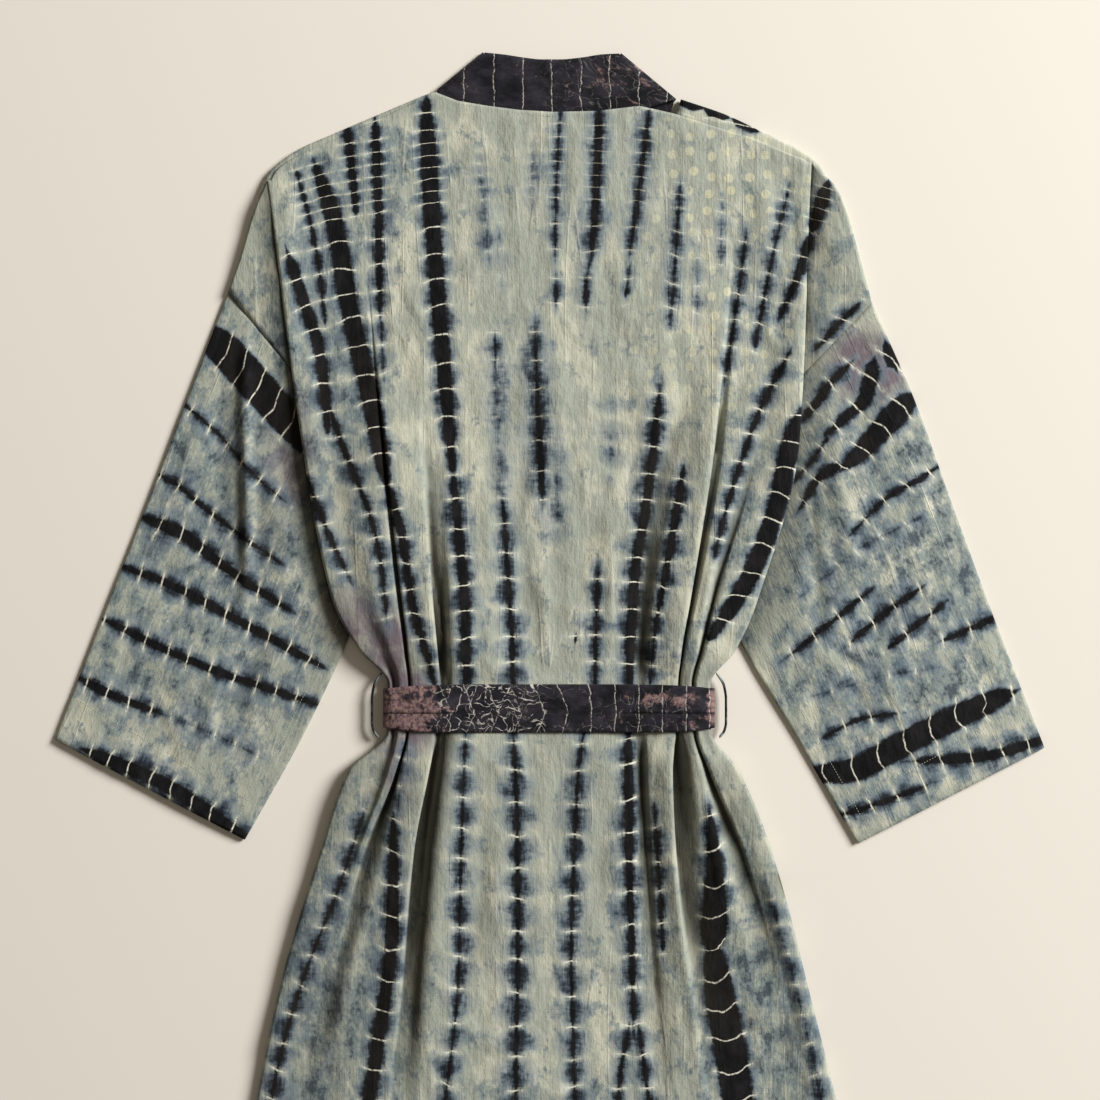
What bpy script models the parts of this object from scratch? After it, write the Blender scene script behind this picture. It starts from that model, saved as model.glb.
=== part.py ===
"""A tie-dyed kimono robe, laid out flat on its front, back up, with its sash round the waist.

Lengths are in millimetres until a mesh is made. X runs to the right and Y towards the neck; Z is up from
the surface that the robe lies on. The origin is under the middle of the robe. "Left" is the side at -X.

Each piece of cloth is a sheet: a grid of points on the middle of its wall, from a few named levels and a
table of fold lines, which Solidify then makes WALL thick.
"""

import bpy
import numpy as np

MM = 0.001
WALL = 1.6  # one layer of the robe's cotton, with the air that its crumple holds
BAND_WALL = 2.0  # the neck band and the sash are doubled cloth
GAP = 0.4  # between two pieces that are sewn or that touch
LEFT = -1
RIGHT = 1

# Levels down the body, as Y. The sash covers the back from BELT_TOP to BELT_FOOT.
BACK_TOP = 560
CHEST = 227
UNDERARM = 167
RIB = 67
OVER_BELT = 17
BELT_TOP = -17
BELT_FOOT = -65
UNDER_BELT = -103
HIP = -183
THIGH = -333
HEM = -615
WAIST = (BELT_TOP + BELT_FOOT) / 2
BELT_HALF = (BELT_TOP - BELT_FOOT) / 2
LEVELS = (CHEST, RIB, OVER_BELT, BELT_TOP, BELT_FOOT, UNDER_BELT, HIP, THIGH, HEM)

# Lines that run down the back, crests and hollows of its folds, left to right. X at the shoulder and at
# each of LEVELS; then how far the line stands above the back at the sash (below it where negative), and how
# far up and down that height takes to fade away.
FOLD_LINES = {
    "side_left": (-274, -241, -207, -183, -155, -156, -191, -219, -262, -312, 2.0, 700, 900),
    "tuck_left": (-258, -214, -186, -166, -149, -149, -174, -203, -245, -290, -2.4, 240, 200),
    "puff_left": (-224, -188, -169, -156, -143, -144, -161, -186, -225, -262, 2.6, 260, 200),
    "slit_left": (-203, -171, -156, -146, -137, -138, -152, -175, -213, -250, -5.0, 300, 260),
    "edge_left": (-190, -159, -145, -139, -130, -131, -145, -166, -203, -238, 3.6, 330, 260),
    "ridge_left": (-165, -134, -119, -115, -112, -114, -118, -139, -165, -198, 4.2, 270, 420),
    "hollow_left": (-150, -118, -105, -103, -103, -107, -113, -129, -140, -155, -3.2, 200, 520),
    "flat_left": (-118, -100, -92, -90, -90, -92, -95, -100, -108, -116, 0.4, 300, 300),
    "middle": (0, 0, 0, 0, 0, 0, 0, 0, 0, 0, 0.8, 200, 200),
    "flat_right": (92, 84, 78, 76, 76, 78, 79, 81, 88, 108, 0.4, 300, 300),
    "hollow_right": (145, 123, 94, 91, 90, 90, 92, 96, 106, 140, -2.6, 420, 420),
    "edge_right": (190, 164, 140, 132, 125, 122, 121, 124, 145, 185, 4.2, 460, 460),
    "slit_right": (202, 177, 149, 140, 132, 130, 132, 137, 156, 200, -5.0, 420, 260),
    "ridge_right": (214, 188, 158, 148, 139, 139, 148, 165, 197, 245, 3.6, 330, 330),
    "tuck_right": (236, 212, 181, 163, 146, 147, 161, 185, 225, 280, -3.6, 300, 220),
    "side_right": (254, 240, 200, 177, 153, 154, 178, 209, 251, 317, 2.0, 700, 900),
}
FADE_FROM_TO = 3  # the last three columns of FOLD_LINES are the height and its reach up and down
LINE_STEPS = {"flat_left": 3, "middle": 3}  # columns from this line to the next, 2 elsewhere

# The fold down each side of the body, outside which nothing of the back shows but the wing by the sleeve.
SIDE_FOLD = {
    LEFT: (-282, -248, -217, -190, -162, -163, -201, -229, -273, -325),
    RIGHT: (261, 249, 207, 185, 160, 161, 188, 221, 261, 330),
}
# The side seam, tucked under that fold: X at UNDERARM and at the levels from RIB down.
SIDE_SEAM = {
    LEFT: (-150, -120, -114, -112, -112, -138, -198, -256, -313),
    RIGHT: (130, 112, 108, 108, 108, 134, 194, 249, 318),
}
SEAM_LEVELS = (UNDERARM,) + LEVELS[1:]
# Rows of every body piece from the underarm down, so that the pieces meet along the same short chords.
ROW_LEVELS = (UNDERARM, 117, RIB, 40, OVER_BELT, 0, BELT_TOP, WAIST, BELT_FOOT, -80, UNDER_BELT, -140,
              HIP, -255, THIGH, -420, -515, HEM)
SHOULDER_POINT = {LEFT: (-322, 376), RIGHT: (322, 365)}  # where sleeve, back and front meet
ROLL = 3.0  # radius of a soft turn at a fold

# The outline of each shoulder from the sleeve to the neck: X, Y, and how far behind it the front reaches
# over to the shoulder seam.
SHOULDER = {
    LEFT: (
        (-322, 376, 4), (-310, 413, 4), (-298, 453, 4), (-283, 492, 5), (-270, 505, 6),
        (-253, 517, 7), (-213, 535, 8), (-166, 555, 6), (-121, 574, 4),
    ),
    RIGHT: (
        (322, 365, 4), (317, 384, 4), (308, 417, 4), (298, 452, 4), (287, 479, 4), (275, 493, 5),
        (265, 507, 6), (207, 538, 12), (175, 553, 17), (131, 568, 18),
    ),
}
# The neck seam, left to right, and the free edge of the neck band above it.
NECK_SEAM = ((-118, 576), (-92, 566), (-62, 561), (-31, 557), (3, 555), (47, 556), (90, 561), (126, 571))
BAND_EDGE = ((-67, 615), (-47, 613), (-27, 610), (-8, 608), (10, 608), (32, 610), (52, 613), (71, 614))
BAND_WIDTH = 55
BAND_TUCK = 3  # how far the neck band reaches under the back's edge
# The seam of each front's band underneath: X at the neck, at the waist and at the hem.
BAND_SEAM = {LEFT: (-117.5, 5, 45), RIGHT: (125.5, -5, -45)}
BAND_SEAM_LEVELS = (576, WAIST, HEM)

# Heights of the middle of the wall above the surface. At each of LEVELS the back lies lower in its
# middle, on the fronts alone, than towards its sides, on the hidden layers.
MIDDLE_HEIGHT = (5.5, 6.4, 8.8, 10.6, 10.6, 8.8, 6.8, 5.8, 5.6)
SIDE_HEIGHT = (9.6, 10.4, 10.8, 11, 11, 10.2, 8.8, 7.4, 5.8)
SIDE_SLOPE = 70  # how far in from the side seam the back comes down to its middle height
FRONT_TURN = 6.8  # the front where it has come over the shoulder
SHOULDER_LAP = 8.8  # the back where it lies on that
SLEEVE_TOP = 4.4  # the upper layer of a sleeve under the body
SLEEVE_PUFF = 1.8  # how much higher it rises where it lies free
WING = 6.7  # the back where it lies on the sleeve, wing and hidden part
BELT_LIFT = BAND_WALL + 0.5  # the fronts pass over the sash
OVERLAP_LIFT = BAND_WALL + 0.3  # and the right front over the left one
NECK_POINT = 264  # the level where the two bands begin to cross
BAND_BACK = (6.7, 5.2)  # the neck band at its seam and at its free edge

# Sleeves. Points along the outer edge and along the underarm edge, from the body to the cuff.
SLEEVE_OUTER = {
    LEFT: ((-322, 376), (-361, 274), (-400, 172), (-448, 50), (-496, -73)),
    RIGHT: ((322, 365), (365, 267), (401, 167), (446, 45), (495, -81)),
}
SLEEVE_INNER = {
    LEFT: ((-150, 167), (-176, 97), (-203, 27), (-245, -63), (-306, -173)),
    RIGHT: ((130, 167), (162, 95), (191, 25), (244, -65), (308, -177)),
}

SASH_ENDS = {LEFT: -166, RIGHT: 164}
# How the sash rides over the folds of the back: X and the height of the middle of its wall.
SASH_RIDE = (
    (-158, 15.2), (-146, 17.2), (-131, 18.0), (-112, 18.0), (-88, 15.2), (-45, 13.4), (0, 13.6),
    (45, 13.4), (78, 15.0), (104, 17.2), (124, 18.0), (140, 17.4), (152, 15.8),
)
SASH_END_TAPER = 4.5  # how much each edge draws in towards the ends
LOOP_OUT = 12  # from the sash's end to the middle of a belt loop
LOOP_SIZE = (1.4, 4.0)  # thickness in plan and height
LOOP_REACH = (26, 31)  # above and below the middle of the sash
LOOP_HEIGHT = 8.5


def flow(knots, values, at):
    """A smooth curve through values at rising knots that never overshoots: cubic between knots, with
    the harmonic mean of the two neighbouring slopes at each knot, and flat where they differ in sign."""
    knots = np.asarray(knots, float)
    values = np.asarray(values, float)
    step = np.diff(knots)
    rise = np.diff(values) / step
    product = rise[:-1] * rise[1:]
    total = np.where(product > 0, rise[:-1] + rise[1:], 1)
    slope = np.concatenate([rise[:1], np.where(product > 0, 2 * product / total, 0), rise[-1:]])
    at = np.clip(np.asarray(at, float), knots[0], knots[-1])
    i = np.clip(np.searchsorted(knots, at, side="right") - 1, 0, len(step) - 1)
    t = (at - knots[i]) / step[i]
    from_start = values[i] + (at - knots[i]) * slope[i]
    from_end = values[i + 1] - (knots[i + 1] - at) * slope[i + 1]
    chord = values[i] + t * (values[i + 1] - values[i])
    return chord + (from_start - chord) * (1 - t) * (1 - t) + (from_end - chord) * t * t


def down(levels, values, at):
    """flow for a table that is written from the top down."""
    return flow(levels[::-1], values[::-1], at)


def smoothstep(low, high, at):
    t = np.clip((np.asarray(at, float) - low) / (high - low), 0, 1)
    return t * t * (3 - 2 * t)


def along(points, share):
    """The place at a share, 0 to 1, of the way along a smooth curve through points."""
    points = np.asarray(points, float)
    lengths = np.linalg.norm(np.diff(points[:, :2], axis=0), axis=1)
    knots = np.concatenate([[0], np.cumsum(lengths)]) / lengths.sum()
    return np.stack([flow(knots, column, share) for column in points.T], axis=-1)


def inward_normals(points):
    """Unit vectors in plan, square to a run of points, that look down the robe."""
    way = np.gradient(points[:, :2], axis=0)
    way /= np.linalg.norm(way, axis=1)[:, None]
    square = np.stack([way[:, 1], -way[:, 0]], axis=1)
    return square * np.where(square[:, 1:] > 0, -1, 1)


def armhole_x(side, y):
    """The armhole seam is straight from the shoulder point to the underarm."""
    (x0, y0), x1 = SHOULDER_POINT[side], SIDE_SEAM[side][0]
    return x1 + (y - UNDERARM) * (x0 - x1) / (y0 - UNDERARM)


def side_seam_x(side, y):
    below = down(SEAM_LEVELS, SIDE_SEAM[side], y)
    return np.where(np.asarray(y) > UNDERARM, armhole_x(side, y), below)


def side_fold_x(side, y, top):
    row = SIDE_FOLD[side]
    return down((top,) + LEVELS, row, y)


def band_seam_x(side, y):
    """The seam of a front's band: straight from the neck to the waist, then straight to the hem."""
    return np.interp(y, BAND_SEAM_LEVELS[::-1], BAND_SEAM[side][::-1])


def shoulder_seam(side):
    """The shoulder seam, where the back laps the front, from the sleeve to the neck."""
    outline = np.array(SHOULDER[side], float)
    return outline[:, :2] + inward_normals(outline) * (outline[:, 2:] - 2)


def back_top_y(x):
    """The back's top edge, shoulder seams and neck seam, as Y at a given X."""
    neck = np.array(NECK_SEAM, float)
    left, right = shoulder_seam(LEFT), shoulder_seam(RIGHT)[::-1]
    inside = (neck[:, 0] > left[-1, 0] + 2) & (neck[:, 0] < right[0, 0] - 2)
    edge = np.concatenate([left, neck[inside], right])
    return np.interp(x, edge[:, 0], edge[:, 1])


def belt_lift(y):
    """How far the fronts and the hidden sides rise to pass over the sash."""
    away = np.abs(np.asarray(y, float) - WAIST)
    return BELT_LIFT * (1 - smoothstep(BELT_HALF + 5, BELT_HALF + 28, away))


def overlap_ramp(y):
    """Where the right front starts to come down beside the left one's band, and where it is down."""
    start = np.maximum(band_seam_x(LEFT, y) + BAND_WIDTH + 3, band_seam_x(RIGHT, y) + 4)
    return start, start + 14


def overlap_lift(x, y):
    """How far the right front rises over the left one's band."""
    start, end = overlap_ramp(y)
    crossed = 1 - smoothstep(NECK_POINT + 6, NECK_POINT + 110, y)
    return OVERLAP_LIFT * crossed * (1 - np.clip((x - start) / (end - start), 0, 1))


def hidden_height(y):
    """The back's hidden sides: on the sleeve, then down over the sash, then on the surface."""
    over_sleeve = (WING - WALL / 2) * smoothstep(-12, 38, y)
    return WALL / 2 + np.maximum(over_sleeve, belt_lift(y))


def seam_height(y):
    """The back's own edge: on the sleeve above the underarm, level with the front below it."""
    over_sleeve = (WING - WALL / 2) * smoothstep(30, 115, y)
    return WALL / 2 + np.maximum(over_sleeve, belt_lift(y))


def back_rows():
    """Rows of the back: shares of the way from its top edge to the chest, then levels."""
    upper = (0, 0.05, 0.13, 0.24, 0.36, 0.48, 0.61, 0.74, 0.87)
    return np.array(upper), np.array((CHEST,) + ROW_LEVELS, float)


def row_levels(tops, upper, lower):
    """The Y of each row at each column, from the Y of the columns' tops."""
    share = upper[:, None]
    fan = tops[None] * (1 - share) + CHEST * share
    return np.concatenate([fan, np.repeat(lower[:, None], len(tops), axis=1)])


def back_columns():
    """The fold lines and the columns between them, as places along the table."""
    names = list(FOLD_LINES)
    places = []
    for i, name in enumerate(names[:-1]):
        steps = LINE_STEPS.get(name, 2)
        places += [i + k / steps for k in range(steps)]
    return np.array(places + [len(names) - 1])


def back_base(x, y):
    """The back without its folds: low in the middle, higher over the hidden layers at its sides."""
    levels = (BACK_TOP,) + LEVELS
    middle = down(levels, (SHOULDER_LAP,) + MIDDLE_HEIGHT, y)
    sides = down(levels, (SHOULDER_LAP,) + SIDE_HEIGHT, y)
    inside = np.minimum(x - side_seam_x(LEFT, y), side_seam_x(RIGHT, y) - x)
    return sides + (middle - sides) * smoothstep(0, SIDE_SLOPE, inside)


def back_face(upper, lower):
    """The back between its two side folds. X runs straight from line to line, and the height eases
    from one to the next as a half cosine, so each line is a crest or the bottom of a hollow."""
    table = np.array(list(FOLD_LINES.values()), float)
    top_x = table[:, 0]
    y_lines = row_levels(back_top_y(top_x), upper, lower)
    places = back_columns()
    y = row_levels(back_top_y(np.interp(places, np.arange(len(table)), top_x)), upper, lower)
    x_lines = np.empty_like(y_lines)
    z_lines = np.empty_like(y_lines)
    for i, row in enumerate(table):
        line_y = y_lines[:, i]
        x_lines[:, i] = down((line_y[0],) + LEVELS, row[:-FADE_FROM_TO], line_y)
        height, up, below = row[-FADE_FROM_TO:]
        away = np.maximum((line_y - BELT_TOP) / up, (BELT_FOOT - line_y) / below)
        z_lines[:, i] = height * (1 - smoothstep(0, 1, away))
    whole = np.minimum(places.astype(int), len(table) - 2)
    part = places - whole
    ease = (1 - np.cos(np.pi * part)) / 2
    x = x_lines[:, whole] * (1 - part) + x_lines[:, whole + 1] * part
    z = z_lines[:, whole] * (1 - ease) + z_lines[:, whole + 1] * ease
    z = z + back_base(x, y)
    z[0] = SHOULDER_LAP
    covered = (x < side_seam_x(LEFT, y) + 8) | (x > side_seam_x(RIGHT, y) - 8)
    clear = hidden_height(y) + WALL + 0.6
    return np.stack([x, y, np.where(covered, np.maximum(z, clear), z)], axis=-1)


def back_side(side, face, upper, lower):
    """Five columns outside the back's face: up from the seam, along the hidden part or the wing, and
    round the side fold, whose turn is a half circle pressed to the height of the side's crest."""
    inward = -side
    crest = face[:, 0] if side == LEFT else face[:, -1]
    fold_top = float(back_top_y(SIDE_FOLD[side][0]))
    fold_y = row_levels(np.array([fold_top]), upper, lower)[:, 0]
    seam_y = row_levels(np.array([SHOULDER_POINT[side][1] - 1.0]), upper, lower)[:, 0]
    fold_x = side_fold_x(side, fold_y, fold_top)
    on_sleeve = smoothstep(100, 160, seam_y)
    at_shoulder = np.clip((SHOULDER_POINT[side][1] - seam_y) / 20, 0, 1)
    seam_x = side_seam_x(side, seam_y) - inward * (GAP + 2.2 * on_sleeve * at_shoulder)
    lap = (SHOULDER_LAP - WING) * (1 - smoothstep(0, 0.2, np.concatenate([upper, 1 + 0 * lower])))
    low = hidden_height(fold_y) + lap
    high = crest[:, 2]
    wing = np.tanh(inward * (fold_x - seam_x) / 8)
    under_x = fold_x - inward * ROLL * wing
    seam = np.stack([seam_x, seam_y, seam_height(seam_y) + lap], axis=-1)
    under = np.stack([under_x, fold_y, low], axis=-1)
    turn = np.stack([fold_x, fold_y, low + 0.45 * (high - low)], axis=-1)
    over = np.stack([fold_x + inward * 3.4, fold_y, low + 0.88 * (high - low)], axis=-1)
    middle = (seam + under) / 2
    middle[:, 2] = low
    columns = [seam, middle, under, turn, over]
    return np.stack(columns if side == LEFT else columns[::-1], axis=1)


def back_grid():
    upper, lower = back_rows()
    face = back_face(upper, lower)
    left = back_side(LEFT, face, upper, lower)
    right = back_side(RIGHT, face, upper, lower)
    return np.concatenate([left, face, right], axis=1)


def front_grid(side):
    """A front, from the hem up. Level rows run from the side seam to the band's seam. Above the
    underarm the rows swing to the shoulder's outline, and the last ones turn over it to the back."""
    columns = np.linspace(0, 1, 9)
    levels = np.array(ROW_LEVELS[::-1], float)
    inward = -side
    outer = side_seam_x(side, levels) + inward * GAP
    inner = band_seam_x(side, levels)
    if side == LEFT:
        x = outer[:, None] + (inner - outer)[:, None] * columns
    else:
        start, end = overlap_ramp(levels)
        flat = outer[:, None] + (end - outer)[:, None] * np.linspace(0, 1, 6)
        x = np.column_stack([flat, (start + end) / 2, start, inner])
    y = np.repeat(levels[:, None], len(columns), axis=1)
    body = np.stack([x, y], axis=-1)
    outline = along(SHOULDER[side], columns)
    outline[0, 0] += inward * GAP
    edge, strip = outline[:, :2], outline[:, 2:]
    normal = inward_normals(outline)
    shares = np.array((0.25, 0.5, 0.75))[:, None, None]
    swing = body[-1] + (edge + normal * ROLL - body[-1]) * shares
    plan = np.concatenate([body, swing])
    z = WALL / 2 + belt_lift(plan[..., 1])
    if side == RIGHT:
        z = z + overlap_lift(plan[..., 0], plan[..., 1])
    flat = np.concatenate([plan, z[..., None]], axis=-1)
    half = (FRONT_TURN - WALL / 2) / 2
    turn = []
    for angle in np.radians((0, 50, 90, 130, 180)):
        inset = ROLL * (1 - np.sin(angle))
        height = WALL / 2 + half * (1 - np.cos(angle))
        turn.append(np.column_stack([edge + normal * inset, np.full(len(edge), height)]))
    turn.append(np.column_stack([edge + normal * (strip + 1), np.full(len(edge), FRONT_TURN)]))
    return np.concatenate([flat, np.array(turn)])


def band_grid():
    """The neck band: up the left front's edge, over the left fold, along the neck, over the right
    fold and down the right front's edge. Each row runs from the seam to the free edge."""
    levels = np.array(ROW_LEVELS[::-1] + (215, NECK_POINT, 320, 390, 480, 545), float)
    shares = np.linspace(0, 1, 13)
    seam = along(NECK_SEAM, shares) - np.array([0, BAND_TUCK])
    edge = along(BAND_EDGE, shares)
    rows = {}
    for side in (LEFT, RIGHT):
        inward = -side
        seam_x = band_seam_x(side, levels) + inward * GAP
        front = np.stack([np.column_stack([seam_x, levels]),
                          np.column_stack([seam_x + inward * BAND_WIDTH, levels])], axis=1)
        z = BAND_WALL / 2 + belt_lift(front[..., 1])
        if side == RIGHT:
            z = z + overlap_lift(front[:, :1, 0], front[:, :1, 1])
        front = np.concatenate([front, z[..., None]], axis=-1)
        end = 0 if side == LEFT else -1
        fold = np.array([seam[end], edge[end]])
        way = fold[1] - fold[0]
        normal = np.array([way[1], -way[0]]) * inward / np.linalg.norm(way)
        turn = []
        for angle in np.radians((0, 45, 90, 135, 180)):
            place = fold + normal * ROLL * (1 - np.sin(angle))
            heights = BAND_WALL / 2 + (np.array(BAND_BACK) - BAND_WALL / 2) * (1 - np.cos(angle)) / 2
            turn.append(np.column_stack([place, heights]))
        rows[side] = np.concatenate([front, np.array(turn)])
    inside = slice(1, -1)
    back = np.stack([np.column_stack([seam[inside], np.full(len(shares) - 2, BAND_BACK[0])]),
                     np.column_stack([edge[inside], np.full(len(shares) - 2, BAND_BACK[1])])], axis=1)
    ends = np.concatenate([rows[LEFT], back, rows[RIGHT][::-1]])
    across = np.linspace(0, 1, 4)[None, :, None]
    return ends[:, :1] + (ends[:, 1:] - ends[:, :1]) * across


def sleeve_grid(side):
    """A sleeve as rings from the armhole to the cuff. Each ring is a flattened loop: along the top from
    the outer edge to the underarm edge, round a half turn there, back along the bottom, round again."""
    inward = -side
    shares = np.array((0, 0.07, 0.16, 0.26, 0.37, 0.48, 0.59, 0.7, 0.8, 0.9, 1))
    outer = along(SLEEVE_OUTER[side], shares)
    inner = along(SLEEVE_INNER[side], shares)
    outer[0, 0] -= inward * GAP
    inner[0, 0] -= inward * GAP
    across = np.linspace(0, 1, 9)[1:-1]
    rings = []
    for share, start, end in zip(shares, outer, inner):
        length = np.linalg.norm(end - start)
        way = (end - start) / length
        inset = (length - 2 * ROLL) * across + ROLL
        run = start + way * inset[:, None]
        free = smoothstep(6, 60, side * (run[:, 0] - side_fold_x(side, run[:, 1], fold_top(side))))
        top = SLEEVE_TOP + SLEEVE_PUFF * free * smoothstep(0.05, 0.3, share) * np.sin(np.pi * across)
        low = WALL / 2
        half = (SLEEVE_TOP - low) / 2
        turn = np.radians((0, 45, 90, 135, 180))
        out = ROLL * (1 - np.sin(turn))
        rise = low + half * (1 - np.cos(turn))
        near = np.column_stack([start + way * out[:, None], rise])
        far = np.column_stack([end - way * out[:, None], rise[::-1]])
        upper = np.column_stack([run, top])
        lower = np.column_stack([run, np.full(len(run), low)])
        rings.append(np.concatenate([near, upper, far, lower[::-1]]))
    return np.array(rings)


def fold_top(side):
    return float(back_top_y(SIDE_FOLD[side][0]))


def sash_grid():
    """The sash as one ring round the waist: under the fronts, up past each side and over the back,
    WAIST at its middle and drawn in a little towards its ends."""
    low = BAND_WALL / 2
    ride = np.array(SASH_RIDE, float)
    top_x = np.concatenate([np.linspace(-158, -84, 12), np.linspace(-60, 60, 5), np.linspace(84, 152, 11)])
    top = np.column_stack([top_x, flow(ride[:, 0], ride[:, 1], top_x)])
    left, right = SASH_ENDS[LEFT], SASH_ENDS[RIGHT]
    side_turn = np.array([(4, 14.4), (0.9, 11.8), (0, 8.5), (0.2, 5.2), (1.6, 2.4), (5, 1.15)])
    right_side = side_turn * (-1, 1) + (right, 0)
    left_side = side_turn[::-1] + (left, 0)
    bottom = np.column_stack([np.linspace(right - 12, left + 12, 9), np.full(9, low)])
    ring = np.concatenate([top, right_side, bottom, left_side])
    half = BELT_HALF - SASH_END_TAPER * (np.abs(ring[:, 0]) / right) ** 6
    across = np.linspace(-1, 1, 4)
    x = np.repeat(ring[:, :1], len(across), axis=1)
    z = np.repeat(ring[:, 1:], len(across), axis=1)
    return np.stack([x, WAIST + half[:, None] * across, z], axis=-1).transpose(1, 0, 2)


def loop_path(side):
    """A belt loop in plan: from the side fold above the sash, out past the sash's end, and back to the
    fold below it, GAP clear of the cloth at both ends."""
    reach = WALL / 2 + GAP + LOOP_SIZE[0] / 2
    high, low = WAIST + LOOP_REACH[0] + 18, WAIST - LOOP_REACH[1] - 6
    top = fold_top(side)
    start = side_fold_x(side, high, top) + side * reach
    end = side_fold_x(side, low, top) + side * (reach + 0.6)
    out = SASH_ENDS[side] + side * LOOP_OUT
    return along(((start, high), (out - side * 1.5, high - 10), (out, WAIST + 12), (out, WAIST - 14),
                  (out - side * 0.5, low + 9), (end, low)), np.linspace(0, 1, 14))


def paint(name, colour, roughness):
    material = bpy.data.materials.new(name)
    material.use_nodes = True
    shader = material.node_tree.nodes["Principled BSDF"]
    shader.inputs["Base Color"].default_value = (*colour, 1)
    shader.inputs["Roughness"].default_value = roughness
    return material


def put(name, points, faces, material):
    mesh = bpy.data.meshes.new(name)
    mesh.from_pydata((np.asarray(points) * MM).tolist(), [], faces)
    mesh.materials.append(material)
    mesh.shade_smooth()
    piece = bpy.data.objects.new(name, mesh)
    bpy.context.scene.collection.objects.link(piece)
    return piece


def sheet(name, grid, wall, material, ring=False):
    """One piece of cloth from a grid of rows and columns; with ring, the last column joins the first."""
    rows, columns = grid.shape[:2]
    index = np.arange(rows * columns).reshape(rows, columns)
    beside = np.roll(index, -1, axis=1) if ring else index[:, 1:]
    here = index if ring else index[:, :-1]
    faces = np.stack([here[:-1], beside[:-1], beside[1:], here[1:]], axis=-1).reshape(-1, 4)
    piece = put(name, grid.reshape(-1, 3), faces.tolist(), material)
    thicken = piece.modifiers.new("wall", "SOLIDIFY")
    thicken.thickness = wall * MM
    thicken.offset = 0
    return piece


def ribbon(name, path, size, height, material):
    """A flat strip on edge along a path in plan, with closed ends."""
    thick, tall = size
    way = np.gradient(path, axis=0)
    way /= np.linalg.norm(way, axis=1)[:, None]
    square = np.stack([way[:, 1], -way[:, 0]], axis=1) * thick / 2
    corners = []
    for sign, level in ((1, -1), (1, 1), (-1, 1), (-1, -1)):
        level_z = np.full(len(path), height + level * tall / 2)
        corners.append(np.column_stack([path + sign * square, level_z]))
    points = np.stack(corners, axis=1).reshape(-1, 3)
    faces = [(0, 1, 2, 3), tuple(len(points) - 4 + k for k in (3, 2, 1, 0))]
    for row in range(len(path) - 1):
        for k in range(4):
            a, b = row * 4 + k, row * 4 + (k + 1) % 4
            faces.append((a, a + 4, b + 4, b))
    return put(name, points, faces, material)


def main():
    for old in list(bpy.data.objects):
        bpy.data.objects.remove(old)
    dyed = paint("tie_dyed_cotton", (0.27, 0.29, 0.24), 0.85)
    dark = paint("dark_dyed_cotton", (0.035, 0.03, 0.035), 0.8)
    sheet("back", back_grid(), WALL, dyed)
    for side, name in ((LEFT, "left"), (RIGHT, "right")):
        sheet("front_" + name, front_grid(side), WALL, dyed)
        sheet("sleeve_" + name, sleeve_grid(side), WALL, dyed, ring=True)
        ribbon("belt_loop_" + name, loop_path(side), LOOP_SIZE, LOOP_HEIGHT, dyed)
    sheet("neck_band", band_grid(), BAND_WALL, dark)
    sheet("sash", sash_grid(), BAND_WALL, dark, ring=True)


main()
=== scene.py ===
"""The looks of a tie-dyed cotton kimono robe, laid flat on its front with its sash round the waist.

Lengths are in millimetres until a mesh is made, and colours are sRGB hex. X runs to the right, Y towards
the neck, Z up from the floor; "left" is the side at -X. Every piece of cloth is a surface over a grid of
rows and columns, worked out as whole arrays, to which Solidify gives its wall. The dye is stitched-resist
tie-dye: stripes bleed from pleats, and pale lines cross them where a thread held the cloth.
"""

from functools import partial

import bpy
import numpy as np
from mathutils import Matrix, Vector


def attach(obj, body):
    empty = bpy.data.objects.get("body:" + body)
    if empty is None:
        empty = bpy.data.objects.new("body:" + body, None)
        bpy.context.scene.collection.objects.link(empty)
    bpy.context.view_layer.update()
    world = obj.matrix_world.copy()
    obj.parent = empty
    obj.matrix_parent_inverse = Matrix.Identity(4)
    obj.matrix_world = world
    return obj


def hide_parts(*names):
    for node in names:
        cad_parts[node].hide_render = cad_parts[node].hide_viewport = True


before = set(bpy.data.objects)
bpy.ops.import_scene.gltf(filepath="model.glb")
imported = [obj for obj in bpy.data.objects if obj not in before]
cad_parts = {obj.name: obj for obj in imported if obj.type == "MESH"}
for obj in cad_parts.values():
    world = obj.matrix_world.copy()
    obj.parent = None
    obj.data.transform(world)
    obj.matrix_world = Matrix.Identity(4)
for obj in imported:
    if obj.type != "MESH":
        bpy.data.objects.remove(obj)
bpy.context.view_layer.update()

MM = 0.001
LEFT = -1
RIGHT = 1
SIDES = {LEFT: "left", RIGHT: "right"}

# The wall of one layer of cotton, and of the doubled cloth of the neck band and the sash.
WALL = 0.9
BAND_WALL = 1.7
CAD_WALL = 1.6
CAD_BAND_WALL = 2.0
GAP = 0.4

# Levels down the body, as Y. The sash covers the back from BELT_TOP to BELT_FOOT.
BACK_TOP = 560
CHEST = 227
UNDERARM = 167
RIB = 67
OVER_BELT = 17
BELT_TOP = -17
BELT_FOOT = -65
UNDER_BELT = -103
HIP = -183
THIGH = -333
HEM = -615
WAIST = (BELT_TOP + BELT_FOOT) / 2
BELT_HALF = (BELT_TOP - BELT_FOOT) / 2
LEVELS = (CHEST, RIB, OVER_BELT, BELT_TOP, BELT_FOOT, UNDER_BELT, HIP, THIGH, HEM)
SEAM_LEVELS = (UNDERARM,) + LEVELS[1:]

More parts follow.
